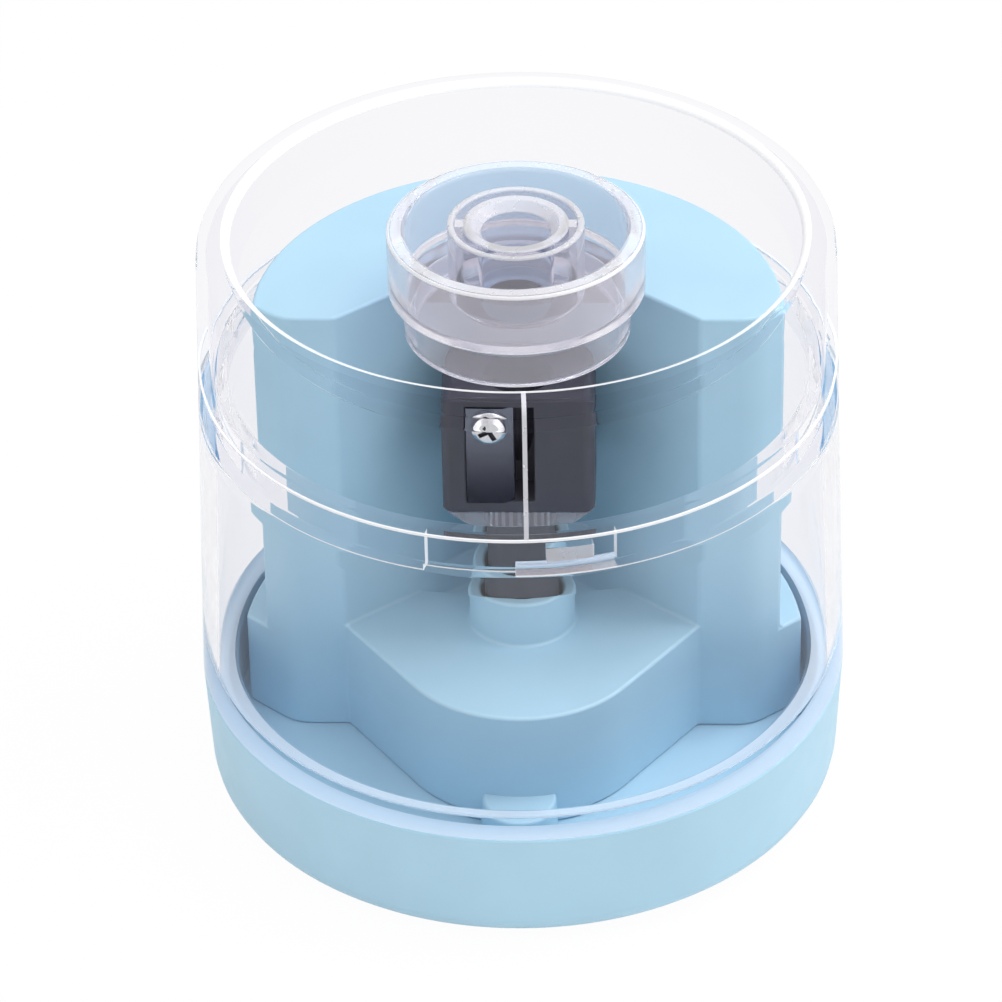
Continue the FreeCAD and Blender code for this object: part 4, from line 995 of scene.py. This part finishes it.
def build_housing(case, housing, socket):
    floor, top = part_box("motor_housing")[0].z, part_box("motor_housing")[1].z
    below = floor - SPILL
    plinth_top = floor + housing.plinth_tall
    platform_top = floor + housing.platform_tall
    wall = housing.wall
    tower = rod("motor_housing_shell", housing.plinth, floor, plinth_top)
    combine(tower, "UNION", rod("tower", housing.tower, floor, top))
    combine(tower, "DIFFERENCE", front_cutter("front", housing, 0.0, below, top + SPILL))
    combine(
        tower, "UNION",
        platform_block("platform", housing, 0.0, floor, platform_top, housing.recess + wall / 2),
        rod("collar", housing.collar, platform_top - wall / 2, platform_top + housing.collar_tall),
    )
    dish_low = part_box("lid")[1].z - case.dish_depth - case.dish_wall
    register_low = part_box("pencil_socket")[0].z - socket.spigot_reach - housing.register_gap / 2
    bore = housing.collar - housing.collar_wall
    combine(
        tower, "DIFFERENCE",
        rod("bore", bore, platform_top, platform_top + 2 * housing.collar_tall),
        rod("register", socket.spigot + housing.register_gap, register_low, dish_low + SPILL),
    )
    ease_edges(tower, housing.edge)
    tab_top = floor + housing.tab_tall
    tab = lathe(
        "tab", (0.0, floor), (housing.tab, floor), (housing.tab, tab_top, housing.edge), (0.0, tab_top),
    )
    corner, slant = platform_corner(housing)
    platform_front = housing.platform * (slant / corner - 1) - housing.apex
    tab.data.transform(Matrix.Translation((0.0, platform_front, 0.0)))
    combine(tower, "UNION", tab)
    room = rod("room", housing.plinth - wall, below, plinth_top - wall)
    combine(room, "UNION", rod("tower_room", housing.tower - wall, below, top - housing.roof))
    combine(room, "DIFFERENCE", front_cutter("front_wall", housing, wall, below - SPILL, top + SPILL))
    combine(room, "UNION", platform_block(
        "platform_room", housing, wall, below, platform_top - wall, housing.recess + wall + SPILL,
    ))
    bush_seat = rod("bush_seat", housing.bush_hole, floor, platform_top + SPILL / 2)
    combine(tower, "DIFFERENCE", room, bush_seat)
    dress(tower, "base", "blue_plastic", "blue_plastic", "motor_housing")


# Cutter

def build_cutter(cutter, socket):
    low_corner, high_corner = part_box("sharpener_block")
    half_x, half_y = high_corner.x, high_corner.y
    low, top = low_corner.z, high_corner.z
    front_view = rounded([
        (half_x, low, 0.5 * cutter.shoulder), (half_x, top, cutter.shoulder),
        (-half_x, top, cutter.shoulder), (-half_x, low, 0.5 * cutter.shoulder),
    ], FINE_STEPS)
    upright = Matrix(((1, 0, 0, 0), (0, 0, 1, 0), (0, 1, 0, 0), (0, 0, 0, 1)))
    block = prism("sharpener_body", front_view, -half_y, half_y, upright)
    plan = rounded(rounded_box(half_x, half_y, cutter.corner), FINE_STEPS)
    combine(block, "INTERSECT", prism("plan", plan, low - SPILL, top + SPILL))
    blade_low, blade_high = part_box("blade")
    depth = top - cutter.cone
    flare = (socket.hole - cutter.tip) / cutter.cone
    above = top + SPILL
    cone = lathe(
        "pencil_cone", (0.0, depth), (cutter.tip, depth), (socket.hole + flare * SPILL, above), (0.0, above),
    )
    front, levels = -half_y - SPILL, (blade_low.z, blade_high.z)
    mouth_x = (blade_high.x, blade_high.x + cutter.mouth)
    mouth = brick("mouth", mouth_x, (front, cutter.mouth_deep - half_y), levels)
    rest = brick("rest", (blade_low.x, blade_high.x), (front, blade_high.y), levels)
    combine(block, "DIFFERENCE", cone, mouth, rest)
    ease_edges(block, cutter.edge, segments=2)
    dress(block, "cutter", "dark_plastic", "dark_plastic", "sharpener_block")

    blade = blade_plate(cutter, blade_low, blade_high)
    dress(blade, "cutter", "blade_steel", "blade_steel", "blade")
    screw = blade_screw(cutter)
    dress(screw, "cutter", "plated_steel", "plated_steel", "blade_screw")
    paint_slot_shade(screw, cutter)


def blade_plate(cutter, low, high):
    """The blade, ground to an edge on its right side."""
    thick = high.y - low.y
    outline = rounded([
        (low.x, high.y), (low.x, low.y, cutter.blade_round), (high.x - cutter.grind, low.y),
        (high.x, high.y - 0.1 * thick), (high.x, high.y),
    ], steps=3)
    return prism("sharpener_blade", outline, low.z, high.z)


def blade_screw(cutter):
    """A pan-head screw with a cross, lying along Y."""
    low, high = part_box("blade_screw")
    middle_x, middle_z = (low.x + high.x) / 2, (low.z + high.z) / 2
    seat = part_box("blade")[0].y
    rise = seat - low.y
    radius = cutter.screw_head
    head = lathe(
        "blade_screw_head", (0.0, 0.0), (radius, 0.0), (radius, 0.55 * rise, 0.2 * rise),
        (0.75 * radius, 0.9 * rise, 0.3 * rise), (0.0, rise),
    )
    arm, thin = cutter.slot_arm, cutter.slot / 2
    levels = (rise - cutter.slot_deep, rise + SPILL)
    combine(
        head, "DIFFERENCE",
        brick("slot", (-arm, arm), (-thin, thin), levels), brick("slot", (-thin, thin), (-arm, arm), levels),
    )
    lean = Matrix.Rotation(cutter.screw_lean, 4, "Z")
    face_front = Matrix.Rotation(math.pi / 2, 4, "X")
    head.data.transform(Matrix.Translation((middle_x, seat, middle_z)) @ face_front @ lean)
    return head


def paint_slot_shade(screw, cutter):
    """Paints shade into the cross in the screw's head: its floor and walls take the charcoal finish."""
    low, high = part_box("blade_screw")
    middle = Vector(((low.x + high.x) / 2, 0.0, (low.z + high.z) / 2))
    floor = low.y + cutter.slot_deep

    def in_slot(face, corners):
        away = Vector((face.center.x, 0.0, face.center.z)) - middle
        if away.length >= cutter.slot_arm or not low.y + NEAR < face.center.y < floor + NEAR:
            return False
        return abs(face.normal.y) < 0.5 or face.center.y > floor - NEAR

    # Painted shade: the charcoal finish on the cross's floor and walls.
    repaint(screw, "dark_plastic", in_slot)


def build_drive(cutter):
    low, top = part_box("drive_hub")[0].z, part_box("drive_hub")[1].z
    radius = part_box("drive_hub")[1].x
    edge = cutter.edge
    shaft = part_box("spindle_shaft")[1]
    hub = lathe(
        "drive_neck", (shaft.x, low, edge), (radius, low, edge), (radius, top), (0.0, top),
        (0.0, shaft.z), (shaft.x, shaft.z),
    )
    dress(hub, "cutter", "dark_plastic", "dark_plastic", "drive_hub")

    low_corner, high_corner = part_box("cutter_carrier")
    plan = rounded(rounded_box(high_corner.x, high_corner.y, cutter.corner), FINE_STEPS)
    carrier = prism("cutter_seat", plan, low_corner.z, high_corner.z - HAIR)
    foot = high_corner.x - cutter.carrier_slope
    tall = high_corner.z - low_corner.z
    below, above = low_corner.z - SPILL, high_corner.z + SPILL
    combine(carrier, "INTERSECT", lathe(
        "slope", (0.0, below), (foot - SPILL, below), (foot + tall + SPILL, above), (0.0, above),
    ))
    combine(carrier, "DIFFERENCE", rod("hub_hole", radius + cutter.hub_gap, below, above))
    dress(carrier, "cutter", "clear_plastic", "clear_haze", "cutter_carrier")


def build_spring(cutter):
    """The return spring round the shaft, which shortens as the cutter goes down."""
    low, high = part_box("return_spring")
    wire = cutter.spring_wire / 2
    radius = high.x - wire
    steps = SPRING_STEPS * cutter.spring_turns
    rise = high.z - low.z - 2 * wire
    shape = bmesh.new()
    rings = []
    for k in range(steps + 1):
        turn = FULL_TURN * k / SPRING_STEPS
        way = Vector((math.cos(turn), math.sin(turn), 0.0))
        middle = way * radius + Vector((0.0, 0.0, low.z + wire + rise * k / steps))
        ring = []
        for spot in circle(wire):
            ring.append(shape.verts.new(middle + way * spot.x + Vector((0.0, 0.0, spot.y))))
        rings.append(ring)
    for before, ring in zip(rings, rings[1:]):
        for j in range(len(ring)):
            shape.faces.new((before[j - 1], before[j], ring[j], ring[j - 1]))
    shape.faces.new(rings[0])
    shape.faces.new(rings[-1])
    spring = from_bmesh("return_spring_coil", shape)
    dress(spring, "drive", "plated_steel", "plated_steel", "return_spring")
    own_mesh(spring)


# Inner works

def build_works():
    """Finishes for the nodes that keep their shape."""
    slots = {entry["node"]: entry["material_slot"] for entry in frame["record"]["subparts"]}
    for name, node in frame["nodes"].items():
        if node.hide_render:
            continue
        node.data.materials.clear()
        node.data.materials.append(finish(slots[name]))


# Stage

def build_stage(context, stage):
    scene = context.scene
    scene.view_settings.view_transform = "Standard"
    scene.camera = photo_camera(stage)
    scene.collection.objects.link(scene.camera)
    for name, (power, size, place) in SOFTBOXES.items():
        scene.collection.objects.link(softbox(name, getattr(stage, power), size, Vector(place)))
    make_world(scene, stage)
    across = (-FLOOR_HALF, FLOOR_HALF)
    floor = brick("studio_floor", across, across, (FLOOR_LOW, FLOOR_TOP))
    floor.data.materials.append(floor_finish(stage))
    scene.cycles.max_bounces = 20
    scene.cycles.glossy_bounces = 14
    scene.cycles.transmission_bounces = 14
    scene.cycles.transparent_max_bounces = 16


def photo_camera(stage):
    """A camera where the photo's camera stood."""
    data = bpy.data.cameras.new("photo_camera")
    data.lens = stage.lens
    data.sensor_width = 36.0
    data.shift_x = stage.shift_x
    data.shift_y = stage.shift_y
    camera = bpy.data.objects.new("photo_camera", data)
    level = math.cos(stage.elevation)
    across, ahead = math.sin(stage.azimuth) * level, -math.cos(stage.azimuth) * level
    back = Vector((across, ahead, math.sin(stage.elevation)))
    camera.location = Vector((0.0, 0.0, stage.aim)) + back * stage.distance
    camera.rotation_mode = "QUATERNION"
    lean = Matrix.Rotation(-stage.roll, 4, "Z").to_quaternion()
    camera.rotation_quaternion = (-back).to_track_quat("-Z", "Y") @ lean
    return camera


def softbox(name, power, size, place):
    light = bpy.data.lights.new(name, "AREA")
    light.shape = "SQUARE"
    light.size = size
    light.energy = power
    lamp = bpy.data.objects.new(name, light)
    lamp.location = place
    lamp.rotation_mode = "QUATERNION"
    lamp.rotation_quaternion = (LIGHT_AIM - place).to_track_quat("-Z", "Y")
    return lamp


def seen_factor(tree):
    """1 on rays that show the surroundings: straight, mirrored or through glass, before any matt surface."""
    path = tree.nodes.new("ShaderNodeLightPath")
    total = path.outputs["Is Camera Ray"]
    for ray in ("Is Glossy Ray", "Is Transmission Ray"):
        total = reckon(tree, "MAXIMUM", total, path.outputs[ray])
    early = reckon(tree, "LESS_THAN", path.outputs["Diffuse Depth"], 0.5)
    return reckon(tree, "MULTIPLY", total, early)


def make_world(scene, stage):
    world = bpy.data.worlds.new("studio_light")
    world.use_nodes = True
    tree = world.node_tree
    background = tree.nodes["Background"]
    background.inputs["Color"].default_value = (1.0, 1.0, 1.0, 1.0)
    strength = tree.nodes.new("ShaderNodeMapRange")
    strength.inputs["To Min"].default_value = stage.world
    strength.inputs["To Max"].default_value = 1.0
    tree.links.new(seen_factor(tree), strength.inputs["Value"])
    tree.links.new(strength.outputs["Result"], background.inputs["Strength"])
    scene.world = world


def floor_finish(stage):
    """A white floor that shows as plain white and still takes the object's shadow."""
    nodes = Nodes("white_studio_floor")
    matt = nodes.add("ShaderNodeBsdfDiffuse")
    nodes.set(matt, Color=(0.9, 0.9, 0.9, 1.0))
    glow = nodes.add("ShaderNodeEmission")
    nodes.set(glow, Strength=1.0)
    share = reckon(nodes.tree, "MULTIPLY", seen_factor(nodes.tree), stage.floor_white)
    nodes.mix_shaders(share, matt.outputs["BSDF"], glow.outputs["Emission"])
    return nodes.material


# Operators

class SHARPENER_OT_base(bpy.types.Operator):
    """Make the blue base cup"""

    bl_idname = "sharpener.base"
    bl_label = "Base cup"

    def execute(self, context):
        build_base(context.scene.sharpener_case)
        return {"FINISHED"}


class SHARPENER_OT_shell(bpy.types.Operator):
    """Make the clear shell of the shavings bin"""

    bl_idname = "sharpener.shell"
    bl_label = "Clear shell"

    def execute(self, context):
        build_shell(context.scene.sharpener_case)
        return {"FINISHED"}


class SHARPENER_OT_lid(bpy.types.Operator):
    """Make the clear twist-off lid"""

    bl_idname = "sharpener.lid"
    bl_label = "Clear lid"

    def execute(self, context):
        build_lid(context.scene.sharpener_case, context.scene.sharpener_socket)
        return {"FINISHED"}


class SHARPENER_OT_socket(bpy.types.Operator):
    """Make the pencil socket and its guide"""

    bl_idname = "sharpener.socket"
    bl_label = "Pencil socket"

    def execute(self, context):
        build_socket(context.scene.sharpener_case, context.scene.sharpener_socket)
        return {"FINISHED"}


class SHARPENER_OT_housing(bpy.types.Operator):
    """Make the blue motor housing"""

    bl_idname = "sharpener.housing"
    bl_label = "Motor housing"

    def execute(self, context):
        scene = context.scene
        build_housing(scene.sharpener_case, scene.sharpener_housing, scene.sharpener_socket)
        return {"FINISHED"}


class SHARPENER_OT_cutter(bpy.types.Operator):
    """Make the sharpener block, its blade and screw"""

    bl_idname = "sharpener.cutter"
    bl_label = "Cutter"

    def execute(self, context):
        build_cutter(context.scene.sharpener_cutter, context.scene.sharpener_socket)
        build_drive(context.scene.sharpener_cutter)
        build_spring(context.scene.sharpener_cutter)
        return {"FINISHED"}


class SHARPENER_OT_works(bpy.types.Operator):
    """Finish the drive, the motor, the cells and the underside"""

    bl_idname = "sharpener.works"
    bl_label = "Inner works"

    def execute(self, context):
        build_works()
        return {"FINISHED"}


class SHARPENER_OT_stage(bpy.types.Operator):
    """Set up the camera, the light and the floor"""

    bl_idname = "sharpener.stage"
    bl_label = "Stage"

    def execute(self, context):
        build_stage(context, context.scene.sharpener_stage)
        return {"FINISHED"}


OPERATORS = (
    SHARPENER_OT_stage, SHARPENER_OT_base, SHARPENER_OT_shell, SHARPENER_OT_lid, SHARPENER_OT_socket,
    SHARPENER_OT_housing, SHARPENER_OT_cutter, SHARPENER_OT_works,
)


class SHARPENER_PT_panel(bpy.types.Panel):
    """Lists the pieces of the sharpener"""

    bl_label = "Desk pencil sharpener"
    bl_idname = "SHARPENER_PT_panel"
    bl_space_type = "VIEW_3D"
    bl_region_type = "UI"
    bl_category = "Sharpener"

    def draw(self, context):
        for operator in OPERATORS:
            self.layout.operator(operator.bl_idname)


GROUPS = {
    "sharpener_case": SharpenerCase,
    "sharpener_socket": SharpenerSocket,
    "sharpener_housing": SharpenerHousing,
    "sharpener_cutter": SharpenerCutter,
    "sharpener_finish": SharpenerFinish,
    "sharpener_stage": SharpenerStage,
}
CLASSES = (*GROUPS.values(), *OPERATORS, SHARPENER_PT_panel)


def register():
    for cls in CLASSES:
        bpy.utils.register_class(cls)
    for name, group in GROUPS.items():
        setattr(bpy.types.Scene, name, PointerProperty(type=group))


def unregister():
    for name in GROUPS:
        delattr(bpy.types.Scene, name)
    for cls in reversed(CLASSES):
        bpy.utils.unregister_class(cls)


def main():
    register()
    for operator in OPERATORS:
        group, name = operator.bl_idname.split(".")
        getattr(getattr(bpy.ops, group), name)()


if __name__ == "__main__":
    main()
